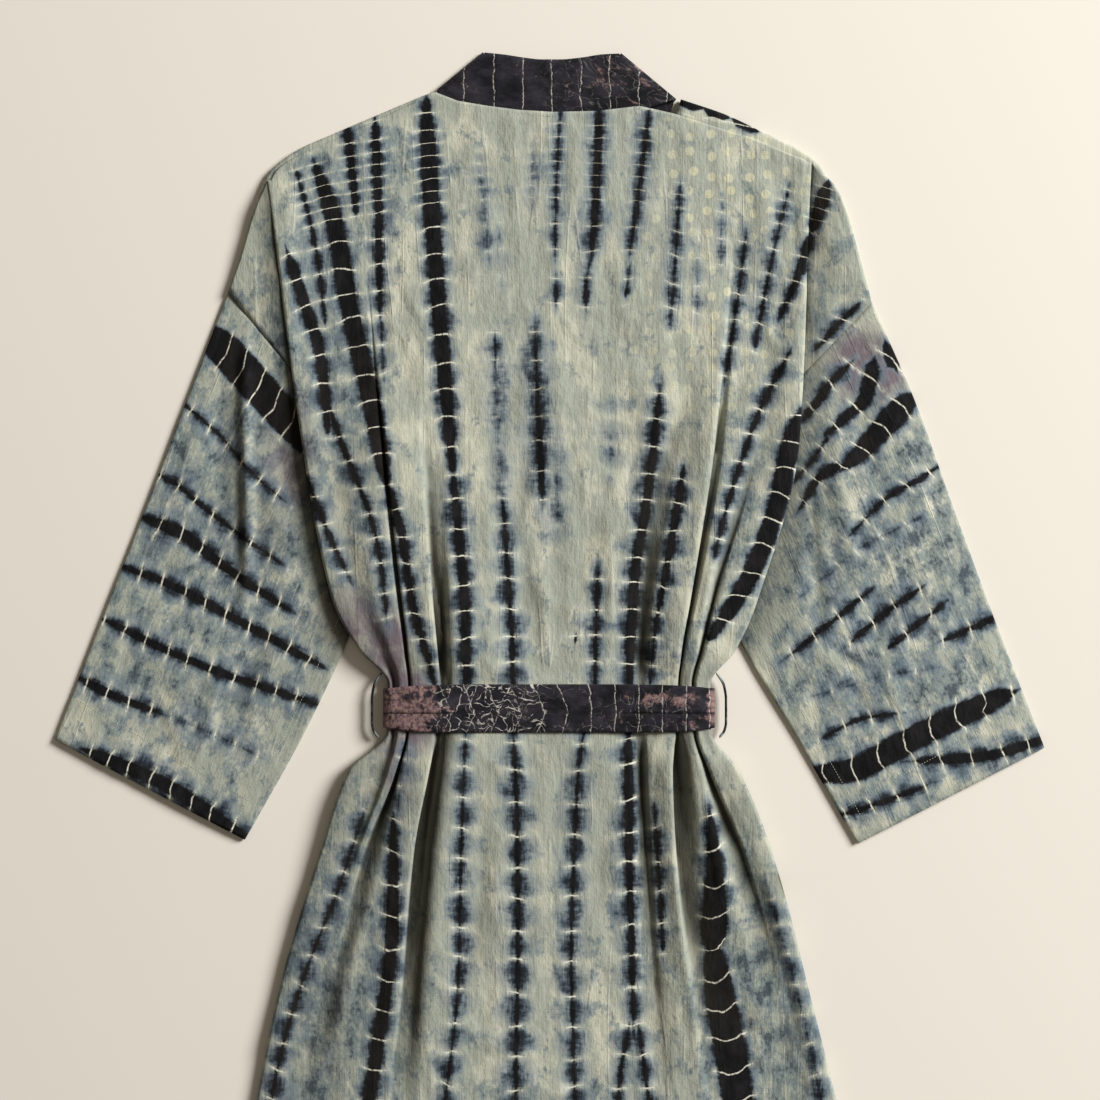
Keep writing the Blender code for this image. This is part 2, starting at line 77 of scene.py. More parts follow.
# Lines that run down the back, crests and hollows of its folds: X at the shoulder and at each of LEVELS,
# the height of the line above the back at the sash, what it gains where the sash doesn't press it, how
# far up and down both take to fade, and how far the line leans to the right for each millimetre of
# height, so that a fold hangs over a hollow.
FOLD_LINES = {
    "side_left": (-274, -241, -207, -183, -160, -161, -193, -219, -262, -312, 1.5, 4.4, 800, 900, 0),
    "tuck_left": (-258, -214, -188, -168, -157, -157, -165, -195, -245, -290, -3.6, 6.8, 260, 500, 0),
    "puff_left": (-224, -188, -171, -157, -149, -151, -160, -190, -228, -266, 3.6, 5.0, 320, 260, 0),
    "lip_left": (-201, -170, -154, -147, -143, -145, -155, -187, -224, -256, 2.6, 4.8, 300, 250, 0.1),
    "slit_left": (-198, -167, -150, -143, -140, -142, -151, -183, -219, -251, -5, -6.5, 420, 250, -0.1),
    "edge_left": (-195, -165, -146, -140, -138, -140, -148, -164, -205, -244, 3.4, 5.0, 440, 300, -0.15),
    "ridge_left": (-165, -132, -120, -115, -112, -116, -123, -138, -152, -187, 4.2, 6.5, 330, 300, 0.2),
    "hollow_left": (-155, -124, -115, -111, -109, -112, -119, -134, -147, -178, -4.2, -5, 250, 460, 0.2),
    "rise_left": (-146, -115, -108, -105, -103, -108, -114, -126, -139, -166, -2.4, -2.8, 250, 420, 0),
    "flat_left": (-136, -104, -99, -98, -97, -102, -106, -116, -128, -150, 2.0, 5.5, 220, 460, 0),
    "middle": (0, 0, 0, 0, 0, 0, 0, 0, 0, 0, 0.8, 1.6, 200, 200, 0),
    "flat_right": (92, 84, 78, 76, 76, 78, 79, 81, 88, 108, 0.4, 1.6, 300, 300, 0),
    "hollow_right": (145, 123, 96, 92, 90, 91, 92, 95, 104, 140, -1.8, -2.2, 260, 460, 0),
    "rise_right": (156, 134, 106, 101, 98, 98, 99, 103, 115, 152, 1.8, 3.8, 300, 460, 0),
    "edge_right": (190, 163, 138, 129, 126, 124, 120, 123, 139, 184, 4.6, 6.0, 500, 500, 0.15),
    "slit_right": (194, 167, 141, 132, 129, 127, 124, 128, 147, 192, -5.0, -6.0, 460, 300, 0.15),
    "shelf_right": (200, 175, 147, 136, 132, 134, 145, 156, 181, 224, 3.0, 4.5, 400, 260, 0),
    "ridge_right": (214, 186, 154, 145, 139, 140, 150, 163, 198, 240, 3.8, 5.0, 360, 300, 0),
    "tuck_right": (232, 206, 164, 152, 143, 145, 158, 191, 230, 276, -4.0, 2.6, 200, 500, 0),
    "rim_right": (238, 211, 167, 155, 146, 148, 161, 195, 236, 284, 3.2, 4.5, 260, 240, -0.1),
    "side_right": (254, 240, 200, 177, 154, 155, 178, 209, 251, 317, 2.0, 4.5, 800, 900, 0),
}
LAST_COLUMNS = 5  # of FOLD_LINES that aren't X
CREASED = ("tuck_left", "slit_left", "slit_right", "tuck_right")  # hollows with a sharp bottom
CREASED_STRAIGHT = 0.45  # how straight the cloth runs down to such a hollow
FREE_REACH = 34  # how far beyond the sash a line takes to gain its free height

SIDE_FOLD = {
    LEFT: (-282, -248, -217, -190, -162, -163, -201, -229, -273, -325),
    RIGHT: (261, 249, 207, 185, 160, 161, 188, 221, 261, 330),
}
SIDE_SEAM = {
    LEFT: (-150, -120, -114, -112, -112, -138, -198, -256, -313),
    RIGHT: (130, 112, 108, 108, 108, 134, 194, 249, 318),
}
SHOULDER_POINT = {LEFT: (-322, 376), RIGHT: (322, 365)}
ROLL = 3.0

# The outline of each shoulder, sleeve to neck: X, Y, and how far behind it the front reaches over.
SHOULDER = {
    LEFT: (
        (-322, 376, 4), (-310, 413, 4), (-298, 453, 4), (-283, 492, 5), (-270, 505, 6),
        (-253, 517, 7), (-213, 535, 8), (-166, 555, 6), (-121, 574, 4),
    ),
    RIGHT: (
        (322, 365, 4), (317, 384, 4), (308, 417, 4), (298, 452, 4), (287, 479, 4), (275, 493, 5),
        (265, 507, 6), (207, 538, 12), (175, 553, 17), (131, 568, 18),
    ),
}
NECK_SEAM = ((-118, 576), (-92, 566), (-62, 561), (-31, 557), (3, 555), (47, 556), (90, 561), (126, 571))
BAND_EDGE = ((-67, 615), (-47, 613), (-27, 610), (-8, 608), (10, 608), (32, 610), (52, 613), (71, 614))
BAND_WIDTH = 55
BAND_TUCK = 3
BAND_SEAM = {LEFT: (-117.5, 5, 45), RIGHT: (125.5, -5, -45)}
BAND_SEAM_LEVELS = (576, WAIST, HEM)

# Heights of the middle of the wall above the floor.
MIDDLE_HEIGHT = (5.5, 6.4, 8.8, 10.6, 10.6, 8.8, 6.8, 5.8, 5.6)
SIDE_HEIGHT = (9.6, 10.4, 10.8, 11, 11, 10.2, 8.8, 7.4, 5.8)
SIDE_SLOPE = 70
FRONT_TURN = 6.8
SHOULDER_LAP = 8.6
SLEEVE_TOP = 4.2
SLEEVE_PUFF = {LEFT: 2.4, RIGHT: 3.6}
WING = 6.5
WING_RISE = {LEFT: 1.6, RIGHT: 4.2}
WING_COLUMNS = 14
# The back's hidden sides and its own edge: their height on the sleeve, and the levels between which they
# come down from it.
HIDDEN_REST = (WING, -12, 38)
EDGE_REST = (4.8, 30, 115)
# How dark the painted shade is in the crook of a side fold, and its reach.
FOLD_SHADE = {LEFT: ((0.97, 6), (0.7, 17)), RIGHT: ((0.8, 4), (0.6, 26))}
BELT_LIFT = CAD_BAND_WALL + 0.5
OVERLAP_LIFT = CAD_BAND_WALL + 0.3
NECK_POINT = 264
BAND_BACK = (6.7, 5.2)

SLEEVE_OUTER = {
    LEFT: ((-322, 376), (-361, 274), (-400, 172), (-448, 50), (-496, -73)),
    RIGHT: ((322, 365), (365, 267), (401, 167), (446, 45), (495, -81)),
}
SLEEVE_INNER = {
    LEFT: ((-150, 167), (-176, 97), (-203, 27), (-245, -63), (-306, -173)),
    RIGHT: ((130, 167), (162, 95), (191, 25), (244, -65), (308, -177)),
}
CUFF_HEM = 45
SLEEVE_LENGTH = {LEFT: 466, RIGHT: 459}

SASH_ENDS = {LEFT: -166, RIGHT: 164}
SASH_RIDE = (
    (-158, 15.2), (-146, 17.2), (-131, 18.0), (-112, 18.0), (-88, 15.2), (-45, 13.4), (0, 13.6),
    (45, 13.4), (78, 15.0), (104, 17.2), (124, 18.0), (140, 17.4), (152, 15.8),
)
SASH_END_TAPER = 4.5
# The sash's way round a side of the waist, from its top to its bottom: X inside its end, and height.
SASH_TURN = ((6, 14.6), (3, 13.6), (0.9, 11.6), (0, 8.5), (0.2, 5.2), (1.6, 2.4), (5, 1.15))
SASH_TOP = (-158, 152)  # X from which to which its upper side runs between the turns
SASH_PRESS = (-3.4, -2.2, -1.4, -0.7, 0, 0.7, 1.4, 2.2, 3.4)  # its rows beside the fold pressed along it
SASH_STEPS = (120, 16, 70)  # on its top, on a turn and on its bottom
SASH_BOTTOM = 12  # X inside its ends at which its bottom starts
SASH_ROWS = 22
SASH_ROUND = 0.5  # how much higher its middle is than its edges
SASH_SWELLS = (0, (), ((0.22, 30, 1, 0, 31), (0.2, 9, 3, 90, 32)), ())
PRESSED_DEPTH = 1.3
PRESSED_WIDTH = 1.1
PRESSED_CLEAR = 0.04  # share of half its width in which its even rows leave room for the close ones
# Between the tie lines of the sash, and of the band, and where the first of them lies, in rows.
SASH_PITCH = 23.4
SASH_START = 0.1
BAND_PITCH = 29
BAND_START = -0.17
BAND_CRACKLE = 0.16  # the most on the band: it comes in towards the right of the neck
SASH_BEND = 0.4  # of the tie lines, for each millimetre off the fold pressed along the sash
BEND_END = (0, 60)  # X over which they stop bending
CRACKLE_RIGHT = (-20, 20)  # X and Y over which the band's crackle comes in
CRACKLE_ABOVE = (540, 560)
# X over which the sash's tie lines come in and over which they grow clear, and over which its net of
# crackle and its slanting strokes come in and go out.
TIED_FROM = (-118, -104)
TIED_CLEAR = (-30, 0)
TIED_FAINT = 0.6
SASH_NET = ((-126, -104), (-50, -14))
SASH_STROKES = ((-90, -70), (-14, 6))
SPECKS = 0.4  # how dense the net is on the specks
PRESSED_LINE = WAIST - 5  # where a fold is pressed along the sash
LOOP_OUT = 12
LOOP_SIZE = (1.3, 2.0)  # half the thickness in plan and half the height, past which it rounds off
# A loop's path, from under the side fold above the sash to below it: X outside the sash's end, and Y off
# the waist.
LOOP_PATH = ((2, 36), (LOOP_OUT - 2, 22), (LOOP_OUT, 8), (LOOP_OUT, -14), (LOOP_OUT - 1.5, -22), (5, -30))
LOOP_HEIGHT = 8.5
LOOP_STRIPE = (1.2, 0.6, 4)  # half width at either end and bleed, as of the other stripes
LOOP_DYED = 40  # how far up and down from the waist that stripe runs

# Where some things fade in, from one place to another, in millimetres or in shares of a length.
BELT_SLOPE = (5, 28)  # off the sash: the fronts come down from passing over it
RIDGE_CLEAR = (12, 40)  # off the sash: the creases of the fronts
ROUGH_CLEAR = (0, 14)  # off the sash: the back's unevenness
EDGE_CLEAR = (0, 16)  # below the back's upper edge: the same
LEAN_CLEAR = (0, 20)  # off the sash: the lean of its folds
ON_SLEEVE = (100, 160)  # Y of the armhole seam
WING_CLEAR = (0, 12)  # outside a side fold: the rise of the wing
ROLL_CLEAR = (0, 30)  # below a side fold's upper end: its radius
SLEEVE_FREE = (4, 46)  # outside a side fold: the puff of the sleeve
PUFF_RISE = (0.04, 0.3)  # share of the sleeve: its puff, and its creases
ROUGH_RISE = (0, 0.08)
HEM_EDGE = (0, 0.004)  # share of the sleeve past the cuff hem's stitching: the step of the doubled cloth
OVER_PATH = (11, 14)  # height of the ring: the upper side of the sash
PRESSED_MIDDLE = -12  # X of the middle of the part of the sash that isn't pressed
PRESSED_PARTS = (70, 100)  # off that middle: the fold along it
OVERLAP_FADE = (NECK_POINT + 6, NECK_POINT + 110)  # Y: the right front comes down where the fronts part

SEAM_LAP = 2  # how far the back laps a shoulder seam
OVERLAP_RAMP = 14  # the width of the right front's slope beside the left band
RAMP_CLEAR = (3, 4)  # where it starts, to the right of the left band's edge and of the right band's seam
POINT_CLEAR = 2  # points of an outline nearer than this to the end of the next one are left out
MARGIN = 8  # how far past an edge below it the back is still held up
OVER_FRONTS = WALL + 0.5  # the least height of the back over the fronts, and over its hidden sides
OVER_HIDDEN = WALL + 0.7
WING_TUCK = 0.7  # how far a wing reaches past the armhole seam, in full from TUCK_DROP below its upper end
TUCK_DROP = 20
WING_LAP = 0.2  # share of the rows above the chest on which it comes down from the shoulder seam
WING_CREST = 2.2  # the higher, the nearer to the fold it stands highest
FAN_POWER = 1.15  # over 1, so that rows lie closer towards the shoulders
ROW_CLEAR = 3  # rows of a front nearer than this to the underarm are left out
BEHIND_LAP = 1  # how far a front's strip goes on under the back
BAND_PUFF = 0.9  # how high the band puffs up at the neck, the share that is uneven, and its swell
BAND_UNEVEN = 0.4
BAND_SWELL = (34, 1, 0, 21)
FOLD_OUT = 3.4  # how far the back's face bulges over a side fold
HEM_STEP = 0.5  # the height of the cuff's doubled cloth, and how much flatter it lies
HEM_CALM = 0.35
SLEEVE_DIP = -0.9  # the deepest that a sleeve's top sinks
FOLD_STEPS = 11
BAND_STEPS = 9
BEHIND = (0.35, 0.7, 1)  # rows of a front on its strip behind the shoulder, as shares of it
BAND_TOP = 545  # Y where the bands of the fronts meet the folds of the neck

# About the distance between the columns of the back's grid, and between its rows from each level down.
COLUMN = 4.8
ROW = 5.2
ROW_BANDS = ((CHEST, ROW), (OVER_BELT + 20, 3.4), (UNDER_BELT - 10, ROW), (-440, 8))
FRONT_COLUMNS = 40
RAMP_COLUMNS = 6
SWING_ROWS = 40
BAND_COLUMNS = 16
BAND_ROWS = 240
NECK_ROWS = 64
SLEEVE_ACROSS = 58  # columns across a layer of a sleeve
SLEEVE_TURN = 7  # and round each of its edges
LOOP_STEPS = 60
LOOP_AROUND = 14


def flow(knots, values, at):
    """A smooth curve through values at rising knots that never overshoots: cubic between knots, with
    the harmonic mean of the two neighbouring slopes at each knot, and flat where they differ in sign."""
    knots = np.asarray(knots, float)
    values = np.asarray(values, float)
    step = np.diff(knots)
    rise = np.diff(values) / step
    product = rise[:-1] * rise[1:]
    total = np.where(product > 0, rise[:-1] + rise[1:], 1)
    slope = np.concatenate([rise[:1], np.where(product > 0, 2 * product / total, 0), rise[-1:]])
    at = np.clip(np.asarray(at, float), knots[0], knots[-1])
    i = np.clip(np.searchsorted(knots, at, side="right") - 1, 0, len(step) - 1)
    t = (at - knots[i]) / step[i]
    from_start = values[i] + (at - knots[i]) * slope[i]
    from_end = values[i + 1] - (knots[i + 1] - at) * slope[i + 1]
    chord = values[i] + t * (values[i + 1] - values[i])
    return chord + (from_start - chord) * (1 - t) * (1 - t) + (from_end - chord) * t * t


def down(levels, values, at):
    """flow for a table that is written from the top down."""
    return flow(levels[::-1], values[::-1], at)


def smoothstep(low, high, at):
    """0 up to low, 1 from high on, and a smooth rise between them."""
    t = np.clip((np.asarray(at, float) - low) / (high - low), 0, 1)
    return t * t * (3 - 2 * t)


def distances(points):
    """How far along a run of points each of them lies."""
    return np.concatenate([[0], np.cumsum(np.linalg.norm(np.diff(points, axis=0), axis=1))])


def along(points, share):
    """The place at a share, 0 to 1, of the way along a smooth curve through points."""
    points = np.asarray(points, float)
    knots = distances(points[:, :2])
    return np.stack([flow(knots / knots[-1], column, share) for column in points.T], axis=-1)


def rightward(points):
    """Unit vectors in plan, square to a run of points, on the right of its way."""
    way = np.gradient(points[:, :2], axis=0)
    way /= np.linalg.norm(way, axis=1)[:, None]
    return np.stack([way[:, 1], -way[:, 0]], axis=1)


def inward_normals(points):
    """Unit vectors in plan, square to a run of points, that look down the robe."""
    square = rightward(points)
    return square * np.where(square[:, 1:] > 0, -1, 1)


def armhole_x(side, y):
    """X of the armhole seam, which is straight from the shoulder's point to the underarm."""
    (x0, y0), x1 = SHOULDER_POINT[side], SIDE_SEAM[side][0]
    return x1 + (y - UNDERARM) * (x0 - x1) / (y0 - UNDERARM)


def side_seam_x(side, y):
    """X of the side seam, and of the armhole seam above it."""
    below = down(SEAM_LEVELS, SIDE_SEAM[side], y)
    return np.where(np.asarray(y) > UNDERARM, armhole_x(side, y), below)


def fold_top(side):
    """Y of the upper end of a side fold, on the shoulder seam."""
    return float(back_top_y(SIDE_FOLD[side][0]))


def side_fold_x(side, y):
    """X of the fold at a side of the back."""
    return down((fold_top(side),) + LEVELS, SIDE_FOLD[side], y)


def band_seam_x(side, y):
    """The seam of a front's band: straight from the neck to the waist, then straight to the hem."""
    return np.interp(y, BAND_SEAM_LEVELS[::-1], BAND_SEAM[side][::-1])


def shoulder_seam(side):
    """The shoulder seam, where the back laps the front, from the sleeve to the neck."""
    outline = np.array(SHOULDER[side], float)
    return outline[:, :2] + inward_normals(outline) * (outline[:, 2:] - SEAM_LAP)


def back_top_y(x):
    """The back's top edge, shoulder seams and neck seam, as Y at a given X."""
    neck = np.array(NECK_SEAM, float)
    left, right = shoulder_seam(LEFT), shoulder_seam(RIGHT)[::-1]
    inside = (neck[:, 0] > left[-1, 0] + POINT_CLEAR) & (neck[:, 0] < right[0, 0] - POINT_CLEAR)
    edge = np.concatenate([left, neck[inside], right])
    return np.interp(x, edge[:, 0], edge[:, 1])


def belt_away(y):
    """How far a level is above or below the sash, 0 under it."""
    return np.maximum(np.abs(np.asarray(y, float) - WAIST) - BELT_HALF, 0)


def belt_lift(y):
    """How far the fronts and the hidden sides rise to pass over the sash."""
    return BELT_LIFT * (1 - smoothstep(*BELT_SLOPE, belt_away(y)))


def overlap_ramp(y):
    """Where the right front starts to come down beside the left one's band, and where it is down."""
    by_edge, by_seam = RAMP_CLEAR
    start = np.maximum(band_seam_x(LEFT, y) + BAND_WIDTH + by_edge, band_seam_x(RIGHT, y) + by_seam)
    return start, start + OVERLAP_RAMP


def overlap_lift(x, y):
    """How far the right front rises over the left one's band."""
    start, end = overlap_ramp(y)
    crossed = 1 - smoothstep(*OVERLAP_FADE, y)
    return OVERLAP_LIFT * crossed * (1 - np.clip((x - start) / (end - start), 0, 1))


def rest_height(rest, y):
    """The height of a hidden part: on the sleeve, then down over the sash, then on the floor."""
    top, low, high = rest
    over_sleeve = (top - CAD_WALL / 2) * smoothstep(low, high, y)
    return CAD_WALL / 2 + np.maximum(over_sleeve, belt_lift(y))


def body_levels():
    """Levels from the chest to the hem, closer together by the sash."""
    tops = [top for top, _ in ROW_BANDS] + [HEM]
    parts = [[CHEST]]
    for high, low, (_, row) in zip(tops, tops[1:], ROW_BANDS):
        parts.append(np.linspace(high, low, round((high - low) / row))[1:])
    return np.concatenate(parts)


def row_levels(tops, upper, lower):
    """The Y of each row at each column, from the Y of the columns' tops."""
    share = upper[:, None]
    fan = tops[None] * (1 - share) + CHEST * share
    return np.concatenate([fan, np.repeat(lower[:, None], len(tops), axis=1)])


# How a path in plan lies to a field of points.
def beside(points, path):
    """Where points lie to a smooth path in plan: how far to its right, how far along it, its length, and
    how far past its nearer end. The path is a run of short chords, and each point takes the nearest."""
    chain = along(path, np.linspace(0, 1, 4 * len(path) + 3))
    starts = distances(chain)
    nearest = np.full(len(points), np.inf)
    offset, place, beyond = (np.zeros(len(points)) for _ in range(3))
    for start, end, passed in zip(chain, chain[1:], starts):
        length = np.linalg.norm(end - start)
        unit = (end - start) / length
        run = (points - start) @ unit
        square = (points - start) @ np.array([unit[1], -unit[0]])
        past = np.maximum(np.maximum(-run, run - length), 0)
        distance = np.hypot(square, past)
        closer = distance < nearest
        nearest = np.where(closer, distance, nearest)
        offset = np.where(closer, square, offset)
        place = np.where(closer, passed + np.clip(run, 0, length), place)
        beyond = np.where(closer, past, beyond)
    return offset, place, starts[-1], beyond


CREASE_END = 0.3  # the share of a crease over which it fades at each end


def creased(plan, table):
    """The height that a table of creases gives. Across each, the height is its depth times
    (1 + 2 lean q) exp(-q q), with q the offset over its half width; it fades to both ends. With a lean,
    one side of the crease stands up and the other sinks, as at a small lap."""
    shape = plan.shape[:-1]
    flat = plan.reshape(-1, 2)
    height = np.zeros(len(flat))
    for depth, half_width, lean, path in table:
        box = np.array(path, float)
        near = np.all((flat > box.min(0) - 4 * half_width) & (flat < box.max(0) + 4 * half_width), axis=1)
        if not near.any():
            continue
        offset, place, length, beyond = beside(flat[near], path)
        q = offset / half_width
        share = place / length
        ends = smoothstep(0, CREASE_END, share) * smoothstep(0, CREASE_END, 1 - share)
        ends = ends * (beyond < half_width)
        height[near] += depth * (1 + 2 * lean * q) * np.exp(-q * q) * ends
    return height.reshape(shape)


WAVE_SPREAD = (0.7, 1.7)  # the lengths of a swell's waves, times its own
NET_RIDGE = 0.38  # the width of a net's ridges, in units of its swell, and their mean height
NET_MEAN = 0.3
NET_GATE = (-0.6, 1.2)  # from which to which height the longer swell lets them through


def swell(plan, length, stretch, heading, seed, waves=18):
    """Soft unevenness of about 1: a sum of cosine waves with seeded directions and phases, about
    length long across the heading (degrees from +X) and stretch times longer along it."""
    turn = np.radians(heading)
    run = plan[..., 0] * np.cos(turn) + plan[..., 1] * np.sin(turn)
    cross = plan[..., 1] * np.cos(turn) - plan[..., 0] * np.sin(turn)
    rng = np.random.default_rng(seed)
    total = np.zeros(run.shape)
    for _ in range(waves):
        angle = rng.uniform(0, np.pi)
        pitch = length * rng.uniform(*WAVE_SPREAD)
        phase = rng.uniform(0, 2 * np.pi)
        wave = run * np.sin(angle) / (pitch * stretch) + cross * np.cos(angle) / pitch
        total += np.cos(2 * np.pi * wave + phase)
    return total / np.sqrt(waves / 2)


def wrinkled(plan, length, stretch, heading, seed):
    """Narrow ridges where a swell passes through zero, less their mean: the net of a worn cloth, which a
    longer swell lets through in places."""
    field = swell(plan, length, stretch, heading, seed)
    gate = smoothstep(*NET_GATE, swell(plan, 3 * length, 1, heading, seed + 1))
    return (np.exp(-(field / NET_RIDGE) ** 2) - NET_MEAN) * gate


def crumpled(plan, recipe):
    """The height that a recipe gives: a gain on its creases, its swells and its nets of wrinkles, each
    with its strength first."""
    gain, creases, swells, nets = recipe
    total = gain * creased(plan, creases)
    for strength, *wave in swells:
        total = total + strength * swell(plan, *wave)
    for strength, *wave in nets:
        total = total + strength * wrinkled(plan, *wave)
    return total


# Creases: depth (down where negative), half width, lean, path.
BACK_CREASES = (
    (-1.6, 6, 0.2, ((-252, 380), (-246, 300), (-238, 240))),
    (1.2, 9, 0, ((-268, 470), (-262, 400), (-256, 330))),
    (-1.0, 7, 0, ((-29, 134), (-19, 73), (-13, 48), (-15, -10))),
    (0.8, 5, 0.3, ((-62, 200), (-60, 120), (-56, 40))),
    (-1.4, 10, 0.2, ((140, 300), (121, 220), (105, 161), (97, 90), (92, 20))),
    (0.9, 7, 0, ((60, 180), (62, 90), (58, 0))),
    (-1.2, 6, 0.4, ((250, 480), (246, 440), (252, 400))),
    (1.0, 12, 0, ((200, 520), (214, 440), (218, 360))),
    (-0.7, 8, 0.3, ((-160, 420), (-166, 350), (-160, 280))),
    (0.7, 10, 0, ((-60, 500), (-66, 420), (-60, 330))),
    (-0.6, 7, 0, ((60, 480), (54, 420), (58, 340))),
    (-1.0, 9, 0.3, ((-62, -90), (-64, -170), (-66, -260), (-70, -330))),
    (0.9, 8, 0, ((-7, -80), (-8, -180), (-4, -300))),
    (-1.0, 9, -0.3, ((49, -100), (50, -220), (54, -340), (60, -430))),
    (1.4, 8, 0.3, ((122, -93), (121, -136), (124, -180), (131, -234), (146, -343), (152, -420))),
    (-1.6, 9, 0.2, ((147, -63), (156, -106), (163, -129), (179, -169), (196, -186))),
    (1.3, 8, 0, ((153, -93), (161, -136), (170, -191), (185, -234), (200, -300))),
    (-1.1, 5, 0.4, ((156, -71), (163, -82), (167, -89))),
    (-1.7, 7, -0.2, ((-109, -65), (-112, -93), (-129, -180), (-135, -245), (-140, -332), (-142, -397))),
    (1.2, 9, 0, ((-168, -140), (-190, -240), (-206, -340), (-214, -430))),
    (-1.0, 9, 0.3, ((-222, -300), (-236, -380), (-250, -470))),
    (0.8, 7, 0.5, ((-96, -340), (-60, -372), (-20, -390))),
    (0.7, 6, -0.5, ((10, -330), (50, -362), (92, -372))),
    (0.8, 6, 0.5, ((-40, -400), (0, -424), (48, -430))),
    (-0.8, 7, 0.4, ((176, -340), (214, -366), (252, -372))),
    (0.8, 8, 0.3, ((-180, -480), (-120, -502), (-60, -506))),
    (-0.9, 9, 0.3, ((60, -470), (120, -500), (190, -506))),
    (0.9, 10, 0, ((-30, -440), (-34, -520), (-40, -600))),
    (-1.0, 10, 0, ((100, -440), (108, -520), (112, -600))),
    (1.1, 11, 0, ((210, -420), (236, -510), (256, -600))),
    (-1.1, 10, 0, ((-180, -420), (-196, -510), (-206, -600))),
)
SLEEVE_CREASES = {
    LEFT: (
        (1.6, 9, 0.2, ((-318, 352), (-345, 270), (-362, 190), (-392, 96))),
        (-1.5, 10, 0.3, ((-300, 330), (-322, 250), (-330, 170))),
        (4.6, 6.5, -0.6, ((-296, 390), (-306, 320), (-308, 260), (-305, 190), (-304, 120), (-312, 30))),
        (-1.8, 11, 0, ((-262, 280), (-262, 200), (-252, 130), (-246, 60))),
        (1.0, 8, 0.4, ((-352, 150), (-372, 90), (-402, 30))),
        (-1.2, 9, 0.3, ((-272, 60), (-292, 0), (-322, -60))),
        (1.3, 6, 0.4, ((-330, 20), (-336, -40), (-352, -96), (-362, -118))),
        (-1.0, 6, 0.3, ((-300, -20), (-306, -60), (-318, -110))),
        (1.0, 7, 0, ((-420, 60), (-440, 0), (-456, -50))),
        (0.8, 5, 0.6, ((-262, 10), (-284, -14), (-296, -34))),
        (-0.9, 7, 0.4, ((-400, -30), (-380, -70), (-372, -110))),
    ),
    RIGHT: (
        (1.6, 9, -0.2, ((318, 340), (342, 262), (366, 180), (396, 90))),
        (-1.6, 10, -0.3, ((300, 320), (312, 240), (330, 160))),
        (1.4, 8, 0.3, ((280, 300), (288, 220), (300, 140), (322, 60))),
        (-1.6, 10, 0, ((256, 250), (262, 180), (262, 110), (280, 40))),
        (1.0, 8, -0.4, ((352, 140), (376, 80), (402, 20))),
        (-1.2, 9, -0.3, ((280, 50), (300, -10), (330, -70))),
        (1.2, 7, -0.4, ((330, 10), (346, -40), (366, -96))),
        (-0.9, 6, -0.4, ((400, 60), (424, 10), (446, -36))),
        (1.0, 6, 0.5, ((250, 20), (282, 8), (312, -18))),
        (0.8, 6, 0.5, ((300, -60), (340, -70), (380, -96))),
    ),
}

# The hidden layers lie on the floor, so their creases only stand up.
FRONT_CREASES = (
    (1.5, 7, 0.1, ((-150, -120), (-165, -210), (-176, -300), (-196, -430))),
    (1.1, 6, 0, ((-60, -120), (-66, -230), (-62, -350))),
    (1.3, 8, -0.1, ((-110, -330), (-122, -430), (-130, -570))),
    (0.9, 6, 0, ((-204, -300), (-222, -400), (-238, -530))),
    (1.0, 9, 0, ((-24, -410), (-16, -490), (-12, -590))),
    (1.2, 7, 0, ((-78, 150), (-74, 80), (-82, 8))),
    (1.3, 8, 0.1, ((-196, 420), (-172, 330), (-146, 240))),
    (0.9, 6, 0, ((-246, 450), (-240, 380), (-222, 300))),
    (1.4, 7, 0, ((120, -120), (136, -220), (146, -330))),
    (1.0, 6, 0.1, ((172, -160), (196, -280), (214, -400))),
    (1.3, 9, 0, ((150, -370), (160, -470), (172, -590))),
    (0.9, 6, 0, ((236, -400), (250, -480), (262, -570))),
    (1.1, 7, 0, ((86, 150), (82, 80), (86, 6))),
    (1.2, 8, -0.1, ((212, 430), (190, 330), (158, 230))),
)
SLEEVE_UNDER_CREASES = {
    LEFT: (
        (1.3, 9, 0, ((-320, 330), (-346, 240), (-360, 140))),
        (1.0, 7, 0.1, ((-268, 270), (-282, 180), (-300, 90))),
        (1.2, 8, 0, ((-330, 90), (-356, 10), (-386, -70))),
        (0.8, 6, 0, ((-400, 70), (-420, 0), (-440, -60))),
        (0.9, 7, 0, ((-250, 60), (-280, -10), (-312, -90))),
    ),
    RIGHT: (
        (1.2, 8, 0, ((312, 330), (336, 250), (352, 150))),
        (1.1, 8, -0.1, ((254, 250), (272, 160), (290, 70))),
        (1.3, 9, 0, ((330, 100), (352, 20), (384, -60))),
        (0.8, 6, 0, ((404, 90), (420, 20), (438, -40))),
        (0.9, 6, 0, ((262, 40), (290, -30), (322, -110))),
    ),
}


# How the cloth crumples: gain on the creases, the creases, swells and nets (strength, length, stretch,
# heading, seed).
BACK_CRUMPLE = (
    1.4, BACK_CREASES,
    ((0.7, 95, 2.2, 90, 3), (0.34, 26, 2.6, 90, 4)), ((1.0, 52, 1.6, 70, 5), (0.5, 27, 3, 86, 6)),
)
SLEEVE_CRUMPLE = {
    LEFT: (1.3, SLEEVE_CREASES[LEFT], ((0.9, 70, 2, 110, 10),), ((1.2, 42, 1.8, 110, 13),)),
    RIGHT: (1.3, SLEEVE_CREASES[RIGHT], ((0.9, 70, 2, 70, 12),), ((1.2, 42, 1.8, 70, 15),)),
}
WING_CRUMPLE = {
    LEFT: (0, (), ((0.35, 40, 2, 110, 8),), ((0.5, 24, 1.6, 65, 9),)),
    RIGHT: (0, (), ((0.35, 40, 2, 110, 8),), ((0.5, 24, 1.6, 115, 9),)),
}


